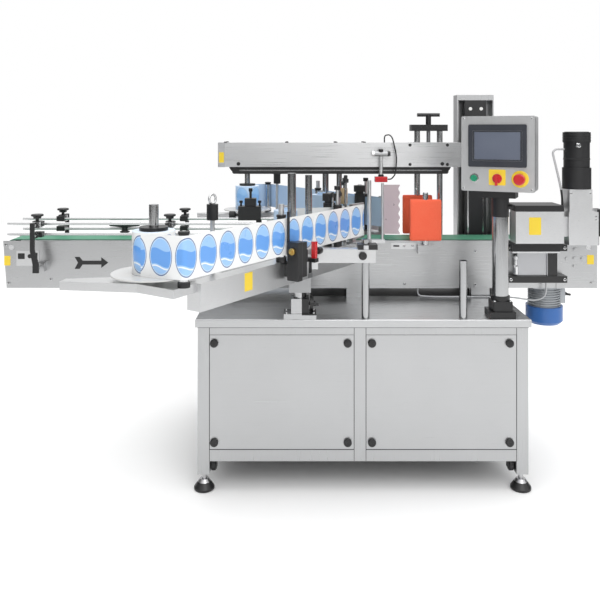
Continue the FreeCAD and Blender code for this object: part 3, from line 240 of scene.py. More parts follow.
# A box in the machine's own coordinates where a finish changes, such as a black cap on a steel body
def zone_group():
    group, start, end = new_group("finish zone", [("Low", "NodeSocketVector", None), ("High", "NodeSocketVector", None)],
                                  [("Mask", "NodeSocketFloat")])
    place = new_node(group, "ShaderNodeTexCoord")
    low = new_node(group, "ShaderNodeVectorMath", operation="SUBTRACT")
    high = new_node(group, "ShaderNodeVectorMath", operation="SUBTRACT")
    both = new_node(group, "ShaderNodeVectorMath", operation="MINIMUM")
    linked(group, place.outputs["Object"], low.inputs[0])
    linked(group, start.outputs["Low"], low.inputs[1])
    linked(group, start.outputs["High"], high.inputs[0])
    linked(group, place.outputs["Object"], high.inputs[1])
    linked(group, low.outputs[0], both.inputs[0])
    linked(group, high.outputs[0], both.inputs[1])
    split = new_node(group, "ShaderNodeSeparateXYZ")
    linked(group, both.outputs[0], split.inputs[0])
    least = math_node(group, "MINIMUM", split.outputs[0], split.outputs[1])
    least = math_node(group, "MINIMUM", least, split.outputs[2])
    linked(group, math_node(group, "GREATER_THAN", least, 0.0), end.inputs["Mask"])
    return group


ZONE = zone_group()


def source_of(socket, plain):
    return socket.links[0].from_socket if socket.links else plain


# zones: (lowest corner mm, highest corner mm, colour, metallic, roughness)
def zoned(material, zones):
    tree = material.node_tree
    shader = tree.nodes["Principled BSDF"]
    colour = source_of(shader.inputs["Base Color"], None)
    rough = source_of(shader.inputs["Roughness"], shader.inputs["Roughness"].default_value)
    metallic = source_of(shader.inputs["Metallic"], shader.inputs["Metallic"].default_value)
    for low, high, tint, shine, dull in zones:
        mask = placed_group(tree, ZONE, {"Low": [v * MM for v in low], "High": [v * MM for v in high]})
        colour = mixed(tree, mask.outputs[0], colour, (*tint, 1))
        rough = mixed(tree, mask.outputs[0], rough, dull, kind="FLOAT")
        metallic = mixed(tree, mask.outputs[0], metallic, shine, kind="FLOAT")
    linked(tree, colour, shader.inputs["Base Color"])
    linked(tree, rough, shader.inputs["Roughness"])
    linked(tree, metallic, shader.inputs["Metallic"])
    return material


ALONG = (5, 800, 800)
UPRIGHT = (800, 800, 5)
EVEN = (260, 260, 260)
BLACK = (0.010, 0.010, 0.011)
DARK = (0.05, 0.052, 0.056)
YELLOW = (0.86, 0.62, 0.03)

# ---------------------------------------------------------------- finishes
steel_along = metal("steel brushed along", (0.50, 0.505, 0.51), ALONG, grain=0.12, roughness=0.32,
                    metallic=1.0)
steel_upright = metal("steel brushed upright", (0.47, 0.475, 0.48), UPRIGHT, grain=0.12, roughness=0.34,
                      metallic=1.0)
beam_steel = metal("lift beam steel", (0.80, 0.805, 0.81), ALONG, grain=0.07, roughness=0.32, metallic=1.0)
rod_steel = metal("guide rod steel", (0.60, 0.605, 0.61), ALONG, grain=0.06, roughness=0.26, metallic=1.0,
                  strength=0.04)
panel_steel = metal("cover steel", (0.48, 0.485, 0.49), ALONG, grain=0.10, roughness=0.36, metallic=1.0)
aluminium = metal("satin aluminium", (0.66, 0.665, 0.67), (90, 90, 420), grain=0.14, roughness=0.36,
                  metallic=1.0)
polished = metal("polished rod", (0.60, 0.605, 0.61), (500, 500, 14), grain=0.06, roughness=0.16,
                 metallic=1.0, strength=0.04)
post_steel = metal("turned post steel", (0.40, 0.405, 0.41), (500, 500, 14), grain=0.05, roughness=0.13,
                   metallic=1.0, strength=0.03)
black_plastic = plastic("black plastic", BLACK, roughness=0.38, dust=0.015)
black_oxide = plastic("black oxide steel", (0.012, 0.012, 0.013), roughness=0.34, dust=0.02, size=1600.0,
                      strength=0.05)
rubber = plastic("black rubber", (0.010, 0.010, 0.011), roughness=0.55, dust=0.03, size=700.0, strength=0.2)
belt_green = plastic("green conveyor belt", (0.045, 0.26, 0.15), roughness=0.5, dust=0.08, size=1400.0,
                     strength=0.25)
belt_black = plastic("black drive belt", (0.014, 0.014, 0.015), roughness=0.5, dust=0.04, size=1100.0,
                     strength=0.3)
green_plastic = plastic("green push button", (0.01, 0.25, 0.13), roughness=0.22, dust=0.02, strength=0.03,
                        coat=0.5)
red_plastic = plastic("red button", (0.55, 0.015, 0.02), roughness=0.22, dust=0.02, strength=0.03, coat=0.5)
yellow_plastic = plastic("yellow plate", YELLOW, roughness=0.35, dust=0.04, strength=0.03)
box_steel = metal("panel box steel", (0.54, 0.545, 0.55), (300, 300, 30), grain=0.10, roughness=0.40,
                  metallic=0.7)
liner = plastic("label liner", (0.80, 0.81, 0.80), roughness=0.3, dust=0.02, size=1800.0, strength=0.05,
                coat=0.3)
liner_blue = plastic("pale blue liner", (0.50, 0.66, 0.86), roughness=0.32, dust=0.03, size=1800.0,
                     strength=0.05, coat=0.3)
roll_side = plastic("wound label roll", (0.40, 0.56, 0.80), roughness=0.4, dust=0.05, size=1400.0,
                    strength=0.1)
lead_black = plastic("black lead", (0.012, 0.012, 0.013), roughness=0.4, dust=0.02)
motor_paint = metal("motor casting", (0.42, 0.44, 0.46), EVEN, grain=0.1, roughness=0.45, metallic=0.55)


def painted(node, material):
    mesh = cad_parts[node].data
    if not mesh.materials:
        mesh.materials.append(material)
    for index in range(len(mesh.materials)):
        mesh.materials[index] = material


def paint_cabinet():
    for node in ("frame", "conveyor_bed"):
        painted(node, steel_upright)
    painted("tabletop", steel_along)
    painted("feet",
            zoned(black_plastic.copy(), [((-500, -500, 27), (900, 500, 60), (0.5, 0.5, 0.51), 1.0, 0.3)]))
    for node in ("panel_front_left", "panel_front_right", "panel_back", "panel_left", "panel_right"):
        painted(node, panel_steel)


def paint_conveyor():
    sides = steel_along.copy()
    sides.name = "conveyor side steel"
    zoned(sides,
          [((435, -140, 786), (520, -80.2, 800), BLACK, 0.0, 0.4), ((435, 80.2, 786), (520, 140, 800), BLACK, 0.0, 0.4)])
    painted("conveyor_side_front", sides)
    painted("conveyor_side_rear", sides)
    painted("conveyor_belt", belt_green)
    painted("tail_roller", polished)
    painted("drive_roller", polished)
    painted("drive_motor",
            zoned(motor_paint.copy(), [((880, -90, 460), (1045, 90, 534.5), (0.03, 0.13, 0.40), 0.0, 0.30)]))
    painted("machine_leads",
            zoned(lead_black.copy(), [((440, -125, 570), (936, -60, 648), (0.42, 0.43, 0.44), 0.0, 0.4)]))
    arms = {"guide_front": (-985.0, -482.0), "guide_rear": (-955.0, -457.0)}
    for node, places in arms.items():
        zones = [((x - 40, -125, 874), (x + 20, 125, 910), BLACK, 0.0, 0.45) for x in places]
        for low, high in ((-160, -140), (140, 160)):
            zones += [((x - 26, low, 680), (x + 18, high, 880), BLACK, 0.0, 0.4) for x in places]
        painted(node, zoned(rod_steel.copy(), zones))


# Middle of the nip roller's cap, and its lowest and highest point
NIP_CAP = (134.9, -216.9, 1003.5, 1019, 14)


def paint_heads():
    for side in ("front", "rear"):
        flip = 1 if side == "front" else -1
        shift = 0 if side == "front" else 144
        zones = []
        for x, y, low, high, half in ((-257.4, -699.4, 956.5, 1004, 22), (0, -362, 738, 775.9, 40), NIP_CAP):
            ys = sorted((flip * (y - half), flip * (y + half)))
            zones.append(((x + shift - half, ys[0], low), (x + shift + half, ys[1], high), BLACK, 0.0, 0.4))
        # the two tall posts and the one under the cross beam
        for x, y, low, high in ((-27.4, -435.1, 802, 1080), (29.6, -340.8, 802, 1068), (221, -376, 582.3, 817)):
            ys = sorted((flip * (y - 16), flip * (y + 16)))
            zones.append(((x + shift - 16, ys[0], low), (x + shift + 16, ys[1], high), (0.50, 0.505, 0.51), 1.0, 0.14))
        ys = sorted((flip * -405, flip * -320))
        zones.append(((shift - 42, ys[0], 640), (shift + 42, ys[1], 737), (0.34, 0.345, 0.35), 1.0, 0.3))
        head = zoned(aluminium.copy(), zones)
        head.name = "label head " + side
        painted("head_" + side, head)
        painted("web_" + side, liner if side == "front" else liner_blue)
        hub = [((-600, -1000, 939), (0, 1000, 951), BLACK, 0.0, 0.35)]
        # the wide disc below the roll is milky plastic, the axle and hub are metal
        disc_zone = [((-700, -1000, 813), (300, 1000, 821.9), (0.60, 0.60, 0.59), 0.0, 0.22)]
        painted("reel_" + side, zoned(polished.copy(), hub + disc_zone))
        painted("roll_" + side, roll_side)
        for node in ("idler_in_", "idler_out_"):
            ends = [((-700, -1000, z), (300, 1000, z + 22), BLACK, 0.0, 0.4) for z in (795, 938)]
            painted(node + side, zoned(polished.copy(), ends))
        painted("traction_" + side, rubber)
        painted("nip_" + side, rubber)
        painted("rewind_" + side, liner_blue)
        ys = sorted((flip * -402, flip * -322))
        clamp_half = [((shift + 6, ys[0], 596), (shift + 70, ys[1], 737), BLACK, 0.0, 0.35)]
        painted("column_" + side, zoned(post_steel.copy(), clamp_half))
        painted("handwheel_" + side, black_plastic)


def paint_lift():
    zones = [((455, 76, 1090), (610, 160, 1150), BLACK, 0.0, 0.4), ((600, 49, 1060), (800, 112, 1172), DARK, 0.3, 0.4),
             ((285, -100, 1119), (350, -50.2, 1141), (0.36, 0.365, 0.37), 1.0, 0.36),
             ((-400, -60, 1030), (640, 60, 1074), (0.03, 0.03, 0.032), 0.6, 0.22),
             ((322, -80, 1172.3), (385, -10, 1210), BLACK, 0.0, 0.4), ((336, -80, 1024), (385, -50.5, 1205), BLACK, 0.0, 0.4)]
    painted("top_beam", zoned(beam_steel.copy(), zones))
    painted("hold_belt", belt_black)
    for node in ("hold_pulley_left", "hold_pulley_right"):
        painted(node, black_oxide)
    painted("wrap_lead",
            zoned(lead_black.copy(), [((900, -400, 1000), (1100, 0, 1300), (0.50, 0.50, 0.51), 0.0, 0.4)]))
    painted("lift_rods", zoned(polished.copy(), [((440, 100, 1216), (620, 160, 1244), BLACK, 0.0, 0.4),
                                                 ((440, 70, 680), (620, 160, 751), BLACK, 0.0, 0.4)]))
    painted("lift_handle",
            zoned(black_plastic.copy(), [((500, 100, 900), (560, 160, 1243), (0.28, 0.28, 0.29), 0.9, 0.35)]))
    painted("lift_column",
            zoned(steel_upright.copy(), [((672, 108, 594), (766, 133, 1336), (0.03, 0.03, 0.033), 0.2, 0.4)]))


def paint_panel():
    painted("hmi_post", zoned(post_steel.copy(), [((600, -440, 581), (760, -260, 655), BLACK, 0.0, 0.4)]))
    painted("hmi_box", zoned(box_steel.copy(), [((600, -440, 900), (780, -280, 1013.9), BLACK, 0.0, 0.4)]))
    painted("start_button", green_plastic)
    painted("rotary_switch", red_plastic)
    painted("stop_button", red_plastic)


def paint_wrap_station():
    painted("wrap_bars",
            zoned(black_oxide.copy(), [((815, -125, 673), (932, -100, 765.5), (0.46, 0.465, 0.48), 1.0, 0.35)]))
    zones = [((786, -210, 922.8), (966, -70, 946), BLACK, 0.0, 0.4),
             ((970, -250, 1004.2), (1090, -100, 1214), BLACK, 0.0, 0.42),
             ((786, -210, 770), (966, -70, 806), BLACK, 0.0, 0.4),
             ((1090.2, -250, 800), (1120, -100, 940), BLACK, 0.0, 0.4)]
    painted("wrap_carriage", zoned(aluminium.copy(), zones))
    painted("wrap_belt", belt_black)
    painted("wrap_pulley_left", polished)
    painted("wrap_pulley_right", polished)


# ---------------------------------------------------------------- studio
# How bright the ground behind the machine is, the same as the far floor
GROUND = 1.0


def make_studio():
    scene = bpy.context.scene
    world = bpy.data.worlds.new("studio")
    scene.world = world
    world.use_nodes = True
    tree = world.node_tree
    back = tree.nodes["Background"]
    place = new_node(tree, "ShaderNodeTexCoord")
    split = new_node(tree, "ShaderNodeSeparateXYZ")
    linked(tree, place.outputs["Generated"], split.inputs[0])
    # bright overhead, in front and behind; dark flags at both sides give the rods their dark edges
    sideways = math_node(tree, "ABSOLUTE", split.outputs[0])
    flag = new_node(tree, "ShaderNodeMapRange", interpolation_type="SMOOTHSTEP")
    for socket, value in zip(flag.inputs[1:5], (0.50, 0.92, 0.0, 0.84)):
        socket.default_value = value
    linked(tree, sideways, flag.inputs[0])
    above = math_node(tree, "MAXIMUM", split.outputs[2], 0.0)
    lift = math_node(tree, "MULTIPLY_ADD", above, 1.28, 0.38)
    turn = math_node(tree, "MULTIPLY_ADD", split.outputs[1], 0.14)
    linked(tree, lift, turn.node.inputs[2])
    glow = math_node(tree, "MULTIPLY", turn, math_node(tree, "SUBTRACT", 1.0, flag.outputs[0]))
    # the ground that the camera sees is plain white
    rays = new_node(tree, "ShaderNodeLightPath")
    linked(tree, mixed(tree, rays.outputs["Is Camera Ray"], glow, (GROUND, GROUND, GROUND, 1)),
           back.inputs["Color"])
    back.inputs["Strength"].default_value = 1.0
    scene.view_settings.view_transform = "Standard"

    floor_mesh = bpy.data.meshes.new("floor")
    shape = bmesh.new()
    bmesh.ops.create_circle(shape, cap_ends=True, radius=7.5, segments=128)
    shape.to_mesh(floor_mesh)
    shape.free()
    floor = bpy.data.objects.new("floor", floor_mesh)
    bpy.context.collection.objects.link(floor)
    material, tree, shader = fresh_material("pale floor")
    shader.inputs["Base Color"].default_value = (0.93, 0.93, 0.93, 1)
    shader.inputs["Roughness"].default_value = 0.7
    shader.inputs["Specular IOR Level"].default_value = 0.0
    floor_mesh.materials.append(material)

    for name, place, aim, size, power in (
            ("key", (1.2, -3.9, 3.1), (0.1, 0, 0.8), 3.2, 64),
            ("top", (0.6, 0.4, 4.6), (0.1, 0, 0.8), 3.6, 60),
            ("side", (4.2, -1.6, 2.2), (0, 0, 0.8), 2.2, 16)):
        lamp = bpy.data.lights.new(name, "AREA")
        lamp.size = size
        lamp.energy = power
        holder = bpy.data.objects.new(name, lamp)
        holder.location = place
        holder.rotation_euler = (Vector(aim) - Vector(place)).to_track_quat("-Z", "Y").to_euler()
        bpy.context.collection.objects.link(holder)

    camera = bpy.data.cameras.new("camera")
    camera.lens = 42.0
    camera.sensor_width = 36.0
    camera.shift_y = -0.2833
    camera.clip_end = 120.0
    eye = bpy.data.objects.new("camera", camera)
    eye.location = (0.0, -2.757, 1.221)
    eye.rotation_euler = (math.radians(90), 0, 0)
    bpy.context.collection.objects.link(eye)
    scene.camera = eye


# ---------------------------------------------------------------- mesh helpers, in millimetres
def block_into(shape, x0, x1, y0, y1, z0, z1, finish=0):
    corners = [shape.verts.new(Vector((x, y, z)) * MM) for z in (z0, z1) for y in (y0, y1) for x in (x0, x1)]
    for a, b, c, d in ((0, 2, 3, 1), (4, 5, 7, 6), (0, 1, 5, 4), (2, 6, 7, 3), (0, 4, 6, 2), (1, 3, 7, 5)):
        shape.faces.new([corners[i] for i in (a, b, c, d)]).material_index = finish


AXES = {"Z": Matrix.Identity(3), "X": Matrix(((0, 0, 1), (1, 0, 0), (0, 1, 0))),
        "Y": Matrix(((1, 0, 0), (0, 0, 1), (0, -1, 0)))}


# A turned shape from (radius, height) pairs, its axis through place
def turned_into(shape, profile, place, axis="Z", segments=32, finish=0):
    turn = AXES[axis] if isinstance(axis, str) else axis
    rings = []
    for radius, height in profile:
        if radius < 1e-6:
            rings.append([shape.verts.new((Vector(place) + turn @ Vector((0, 0, height))) * MM)])
            continue
        ring = []
        for step in range(segments):
            angle = 2 * math.pi * step / segments
            offset = turn @ Vector((radius * math.cos(angle), radius * math.sin(angle), height))
            ring.append(shape.verts.new((Vector(place) + offset) * MM))
        rings.append(ring)
    for low, high in zip(rings[:-1], rings[1:]):
        for step in range(segments):
            after = (step + 1) % segments
            if len(low) == 1 and len(high) == 1:
                continue
            if len(low) == 1:
                face = shape.faces.new([low[0], high[after], high[step]])
            elif len(high) == 1:
                face = shape.faces.new([low[step], low[after], high[0]])
            else:
                face = shape.faces.new([low[step], low[after], high[after], high[step]])
            face.material_index = finish


# A flat outline (a, b) given thickness along the third axis
def outline_into(shape, outline, low, high, along="Y", finish=0):
    def spot(a, b, depth):
        return Vector({"Y": (a, depth, b), "Z": (a, b, depth), "X": (depth, a, b)}[along]) * MM
    first = [shape.verts.new(spot(a, b, low)) for a, b in outline]
    second = [shape.verts.new(spot(a, b, high)) for a, b in outline]
    shape.faces.new(first).material_index = finish
    shape.faces.new(second[::-1]).material_index = finish
    for i in range(len(outline)):
        j = (i + 1) % len(outline)
        shape.faces.new([first[j], first[i], second[i], second[j]]).material_index = finish


def fitted(name, shape, finishes, body, bevel=0.0, sharp=35.0):
    bmesh.ops.recalc_face_normals(shape, faces=shape.faces)
    mesh = bpy.data.meshes.new(name)
    shape.to_mesh(mesh)
    shape.free()
    for finish in finishes:
        mesh.materials.append(finish)
    for face in mesh.polygons:
        face.use_smooth = True
    mesh.set_sharp_from_angle(angle=math.radians(sharp))
    piece = bpy.data.objects.new(name, mesh)
    bpy.context.collection.objects.link(piece)
    if bevel:
        edge = piece.modifiers.new("edges", "BEVEL")
        edge.width = bevel * MM
        edge.segments = 2
        edge.limit_method = "ANGLE"
        edge.angle_limit = math.radians(40)
        edge.harden_normals = True
    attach(piece, body)
    return piece


# Head frame: x along the web towards the peel edge, t behind the web
HEAD_ANGLE = math.radians(55.7)
PEEL = (243.0, -99.0)


def head_spot(x, t, side="front"):
    wx = PEEL[0] + x * math.cos(HEAD_ANGLE) - t * math.sin(HEAD_ANGLE)
    wy = PEEL[1] + x * math.sin(HEAD_ANGLE) + t * math.cos(HEAD_ANGLE)
    return (wx, wy) if side == "front" else (wx + 144.0, -wy)


# ---------------------------------------------------------------- label web and roll
WEB_LOW, WEB_HIGH, WEB_HALF = 822.0, 940.0, 0.4
WEB_CIRCLES = [(-940.0, 150.0, 60.7, 1), (-961.0, 14.7, 14.7, 1), (-518.0, 13.2, 14.7, 1), (0.0, 3.2, 3.2, 1),
               (-150.0, 62.0, 22.7, -1), (-330.0, 130.0, 42.7, 1)]
LABEL_PITCH = 82.0


def label_paper(name, paper, blue_side):
    material, tree, shader = fresh_material(name)
    labels = placed_group(tree, LABELS,
                          {"Pitch": LABEL_PITCH * MM, "Half width": 0.0362, "Half height": 0.0530})
    grain = placed_group(tree, MOULDED,
                         {"Colour": (1, 1, 1, 1), "Size": 1500.0, "Dust": 0.03, "Roughness": 0.3})
    colour = labels.outputs["Colour"]
    if blue_side:
        colour = mixed(tree, 0.72, colour, (*paper, 1))
    linked(tree, mixed_tint(tree, colour, grain.outputs["Colour"]), shader.inputs["Base Color"])
    linked(tree, grain.outputs["Roughness"], shader.inputs["Roughness"])
    shader.inputs["Coat Weight"].default_value = 0.3
    bumped(tree, shader, labels.outputs["Print"], 0.25, 0.0002)
    return material


def mixed_tint(tree, first, second):
    node = new_node(tree, "ShaderNodeMix", data_type="RGBA", blend_type="MULTIPLY")
    node.inputs[0].default_value = 1.0
    linked(tree, first, node.inputs[6])
    linked(tree, second, node.inputs[7])
    return node.outputs[2]


# The web's line in the head frame: points, directions and the length so far
def web_line():
    runs = []
    for one, two in zip(WEB_CIRCLES[:-1], WEB_CIRCLES[1:]):
        dx, dy = two[0] - one[0], two[1] - one[1]
        bend = (two[3] * two[2] - one[3] * one[2]) / math.hypot(dx, dy)
        angle = math.atan2(dy, dx) - math.asin(bend)
        normal = (-math.sin(angle), math.cos(angle))
        runs.append((angle, (one[0] - one[3] * one[2] * normal[0], one[1] - one[3] * one[2] * normal[1]),
                     (two[0] - two[3] * two[2] * normal[0], two[1] - two[3] * two[2] * normal[1])))
    line = []
    for index, (angle, start, stop) in enumerate(runs):
        line.append((start, angle, index))
        steps = max(1, int(math.hypot(stop[0] - start[0], stop[1] - start[1]) / 40))
        for step in range(1, steps + 1):
            share = step / steps
            line.append(((start[0] + (stop[0] - start[0]) * share, start[1] + (stop[1] - start[1]) * share), angle, index))
        if index + 1 < len(runs):
            x, y, radius, way = WEB_CIRCLES[index + 1]
            sweep = (runs[index + 1][0] - angle) * way % (2 * math.pi)
            count = max(1, int(sweep / math.radians(9)))
            for step in range(1, count):
                here = angle + way * sweep * step / count
                normal = (-math.sin(here), math.cos(here))
                line.append(((x - way * radius * normal[0], y - way * radius * normal[1]), here, index + 0.5))
    return line


def make_label_web(side, printed, plain):
    line = web_line()
    lengths = [0.0]
    for (a, _, _), (b, _, _) in zip(line[:-1], line[1:]):
        lengths.append(lengths[-1] + math.hypot(b[0] - a[0], b[1] - a[1]))
    peel_length = max(length for length, spot in zip(lengths, line) if spot[2] <= 2)
    shape = bmesh.new()
    uv = shape.loops.layers.uv.new("print")
    rows = []
    for spot, angle, part in line:
        normal = (-math.sin(angle), math.cos(angle))
        row = []
        for offset in (-WEB_HALF, WEB_HALF):
            wx, wy = head_spot(spot[0] + normal[0] * offset, spot[1] + normal[1] * offset, side)
            row += [shape.verts.new(Vector((wx, wy, WEB_LOW)) * MM),
                    shape.verts.new(Vector((wx, wy, WEB_HIGH)) * MM)]
        rows.append(row)
    high = (WEB_HIGH - WEB_LOW) * MM
    for index, (one, two) in enumerate(zip(rows[:-1], rows[1:])):
        labelled = line[index][2] < 2.4
        u0 = (lengths[index] - peel_length + 20.0) * MM
        u1 = (lengths[index + 1] - peel_length + 20.0) * MM
        for quad, coords, finish in (
                ((one[0], two[0], two[1], one[1]), ((u0, 0), (u1, 0), (u1, high), (u0, high)),
                 0 if labelled else 1),
                ((two[2], one[2], one[3], two[3]), ((u1, 0), (u0, 0), (u0, high), (u1, high)), 1),
                ((one[1], two[1], two[3], one[3]), ((0, 0),) * 4, 1), ((two[0], one[0], one[2], two[2]), ((0, 0),) * 4, 1)):
            face = shape.faces.new(quad)
            face.material_index = finish
            for loop, coord in zip(face.loops, coords):
                loop[uv].uv = coord
    shape.faces.new([rows[0][i] for i in (0, 1, 3, 2)]).material_index = 1
    shape.faces.new([rows[-1][i] for i in (2, 3, 1, 0)]).material_index = 1
    web = fitted("label_web_" + side, shape, [printed, plain], "head_" + side)
    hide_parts("web_" + side)
    return web


# The full roll: labels round the outside, wound edges on top
def make_label_roll(side, printed, wound):
    shape = bmesh.new()
    uv = shape.loops.layers.uv.new("print")
    cx, cy = head_spot(-940.0, 150.0, side)
    steps, inner, outer = 96, 38.0, 60.0
    rings = {}
    for name, radius, height in (("a", inner, WEB_LOW), ("b", outer - 0.8, WEB_LOW), ("c", outer, WEB_LOW + 0.8),
                                 ("d", outer, WEB_HIGH - 0.8), ("e", outer - 0.8, WEB_HIGH), ("f", inner, WEB_HIGH)):
        rings[name] = [shape.verts.new(Vector((cx + radius * math.cos(2 * math.pi * i / steps),
                                               cy + radius * math.sin(2 * math.pi * i / steps), height)) * MM)
                       for i in range(steps)]
    order = "abcdef"
    for low, high in zip(order, order[1:] + "a"):
        for i in range(steps):
            j = (i + 1) % steps
            face = shape.faces.new([rings[low][i], rings[low][j], rings[high][j], rings[high][i]])
            face.material_index = 0 if low == "c" else 1
            u0 = (i / steps * 2 * math.pi * outer + 31.0) * MM
            u1 = ((i + 1) / steps * 2 * math.pi * outer + 31.0) * MM
            tall = (WEB_HIGH - WEB_LOW) * MM
            for loop, coord in zip(face.loops, ((u0, 0), (u1, 0), (u1, tall), (u0, tall))):
                loop[uv].uv = coord
    roll = fitted("label_roll_" + side, shape, [printed, wound], "reel_" + side, sharp=50)
    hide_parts("roll_" + side)


# Fine rings of wound paper, seen on the ends of a roll
def wound_paper(name, colour, centre):
    material, tree, shader = fresh_material(name)
    place = new_node(tree, "ShaderNodeTexCoord")
    away = new_node(tree, "ShaderNodeVectorMath", operation="SUBTRACT")
    away.inputs[1].default_value = (centre[0] * MM, centre[1] * MM, 0)
    flat = new_node(tree, "ShaderNodeVectorMath", operation="MULTIPLY")
    flat.inputs[1].default_value = (1, 1, 0)
    reach = new_node(tree, "ShaderNodeVectorMath", operation="LENGTH")
    linked(tree, place.outputs["Object"], away.inputs[0])
    linked(tree, away.outputs[0], flat.inputs[0])
    linked(tree, flat.outputs[0], reach.inputs[0])
    ring = math_node(tree, "SINE", math_node(tree, "MULTIPLY", reach.outputs["Value"], 4200.0))
    share = math_node(tree, "MULTIPLY_ADD", ring, 0.22, 0.4)
    linked(tree, mixed(tree, share, (*colour, 1), (0.86, 0.87, 0.88, 1)), shader.inputs["Base Color"])
    shader.inputs["Roughness"].default_value = 0.55
    bumped(tree, shader, ring, 0.15, 0.0002)
    return material


def make_webs():
    front_print = label_paper("printed label web", (0.8, 0.82, 0.84), False)
    rear_print = label_paper("rear label web", (0.30, 0.55, 0.88), True)
    for side, printed, plain in (("front", front_print, liner), ("rear", rear_print, liner_blue)):
        make_label_web(side, printed, plain)
        wound = wound_paper("wound paper " + side, (0.52, 0.66, 0.84), head_spot(-940.0, 150.0, side))
        make_label_roll(side, printed, wound)
    # the thin wiper flap past the peel edge, its free edge scalloped
    film, tree, shader = fresh_material("mauve film flap")
    node = placed_group(tree, MOULDED,
                        {"Colour": (0.60, 0.50, 0.53, 1), "Size": 900.0, "Dust": 0.02, "Roughness": 0.28})
    linked(tree, node.outputs["Colour"], shader.inputs["Base Color"])
    linked(tree, node.outputs["Roughness"], shader.inputs["Roughness"])
    shader.inputs["Transmission Weight"].default_value = 0.35
    bumped(tree, shader, node.outputs["Height"], 0.05)
    x0, low, tall, long = 317.3, 828.0, 186.0, 61.0
    outline = [(x0, low), (x0, low + tall)]
    for step in range(73):
        share = 1 - step / 72
        outline.append((x0 + long - 6.0 * (0.5 - 0.5 * math.cos(share * 2 * math.pi * 6)), low + tall * share))
    shape = bmesh.new()
    outline_into(shape, outline[::-1], -108.6, -107.4)
    fitted("wiper_flap", shape, [film], "head_front")


# ---------------------------------------------------------------- foam pads
def foam():
    material, tree, shader = fresh_material("orange foam")
    place = new_node(tree, "ShaderNodeTexCoord")
    cells = new_node(tree, "ShaderNodeTexVoronoi")
    cells.inputs["Scale"].default_value = 620.0
    broad = new_node(tree, "ShaderNodeTexNoise")
    broad.inputs["Scale"].default_value = 22.0
    linked(tree, place.outputs["Object"], cells.inputs["Vector"])
    linked(tree, place.outputs["Object"], broad.inputs["Vector"])
    pores = math_node(tree, "MULTIPLY", cells.outputs["Distance"], 0.9, clamp=True)
    colour = mixed(tree, pores, (1.0, 0.15, 0.07, 1), (0.86, 0.10, 0.045, 1))
    colour = mixed(tree, math_node(tree, "MULTIPLY", broad.outputs[0], 0.22), colour, (1.0, 0.30, 0.16, 1))
    linked(tree, colour, shader.inputs["Base Color"])
    shader.inputs["Roughness"].default_value = 0.86
    bumped(tree, shader, cells.outputs["Distance"], 0.45, 0.0005)
    return material


# A crowned foam block with softened corners, pierced by its pin
def make_pad(side, sponge):
    sign = -1 if side == "front" else 1
    half_long, half_deep, half_tall = 59.6, 12.8, 78.2
    middle = Vector((477.5, sign * 92.0, 878.5))
    shape = bmesh.new()
    bmesh.ops.create_cube(shape, size=2.0)
    bmesh.ops.subdivide_edges(shape, edges=shape.edges[:], cuts=17, use_grid_fill=True)
    for vert in shape.verts:
        u, v, w = vert.co
        crown = (1 - u * u) * (1 - w * w)
        x = u * half_long
        z = w * half_tall
        y = v * (half_deep - 1.6 + 1.9 * crown)
        # rounded edges: the outer 5 mm fall away on a quarter circle
        dx = max(0.0, abs(x) - (half_long - 5)) / 5
        dy = max(0.0, abs(y) - (half_deep - 6.6)) / 5
        dz = max(0.0, abs(z) - (half_tall - 4)) / 4
        reach = math.sqrt(min(dx, 1) ** 2 + min(dy, 1) ** 2 + min(dz, 1) ** 2)
        if reach > 1:
            pull = 1 / reach
            x -= math.copysign((1 - pull) * 5 * min(dx, 1), x)
            y -= math.copysign((1 - pull) * 5 * min(dy, 1), y)
            z -= math.copysign((1 - pull) * 4 * min(dz, 1), z)
        swell = 0.35 * math.sin(x * 0.11 + 1.3) * math.cos(z * 0.07)
        vert.co = (middle + Vector((x, y + math.copysign(swell, v) * abs(v), z))) * MM
    pad = fitted("foam_" + side, shape, [sponge], "pad_" + side, sharp=70)
    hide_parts("pad_" + side)
    pin = bmesh.new()
    y = middle.y
    turned_into(pin,
                [(0, 752), (9, 752), (10, 753), (10, 784.3), (11.3, 784.3), (11.3, 799.5), (8, 799.8), (8, 801)],
                (477.5, y, 0))
    turned_into(pin, [(10, 955), (10, 981.5), (8.6, 983), (4.6, 983), (4.6, 979), (0, 979)], (477.5, y, 0))
    fitted("pad_pin_" + side, pin, [polished], "pad_" + side)


# ---------------------------------------------------------------- small fittings
def rounded_outline(x0, x1, z0, z1, radius, steps=5):
    outline = []
    for cx, cz, start in ((x1 - radius, z1 - radius, 0), (x0 + radius, z1 - radius, 90), (x0 + radius, z0 + radius, 180), (x1 - radius, z0 + radius, 270)):
        for step in range(steps + 1):
            angle = math.radians(start + 90 * step / steps)
            outline.append((cx + radius * math.cos(angle), cz + radius * math.sin(angle)))
    return outline


# A button-head screw with a hexagon socket, its head standing off a face towards -Y
def screw_into(shape, x, y, z, radius=5.5, high=3.2, axis="Y", finish=0):
    lean = FRONTWARD if axis == "Y" else AXES[axis]
    turned_into(shape, [(radius, -0.5), (radius, high * 0.35), (radius * 0.8, high * 0.85), (radius * 0.55, high), (radius * 0.42, high)],
                (x, y, z), lean, 20, finish)
    # the socket hollow takes the next finish, black rubber in every call: painted shade in the recess
    turned_into(shape, [(radius * 0.42, high), (radius * 0.42, high * 0.2), (0, high * 0.2)], (x, y, z), lean,
                6, finish + 1)


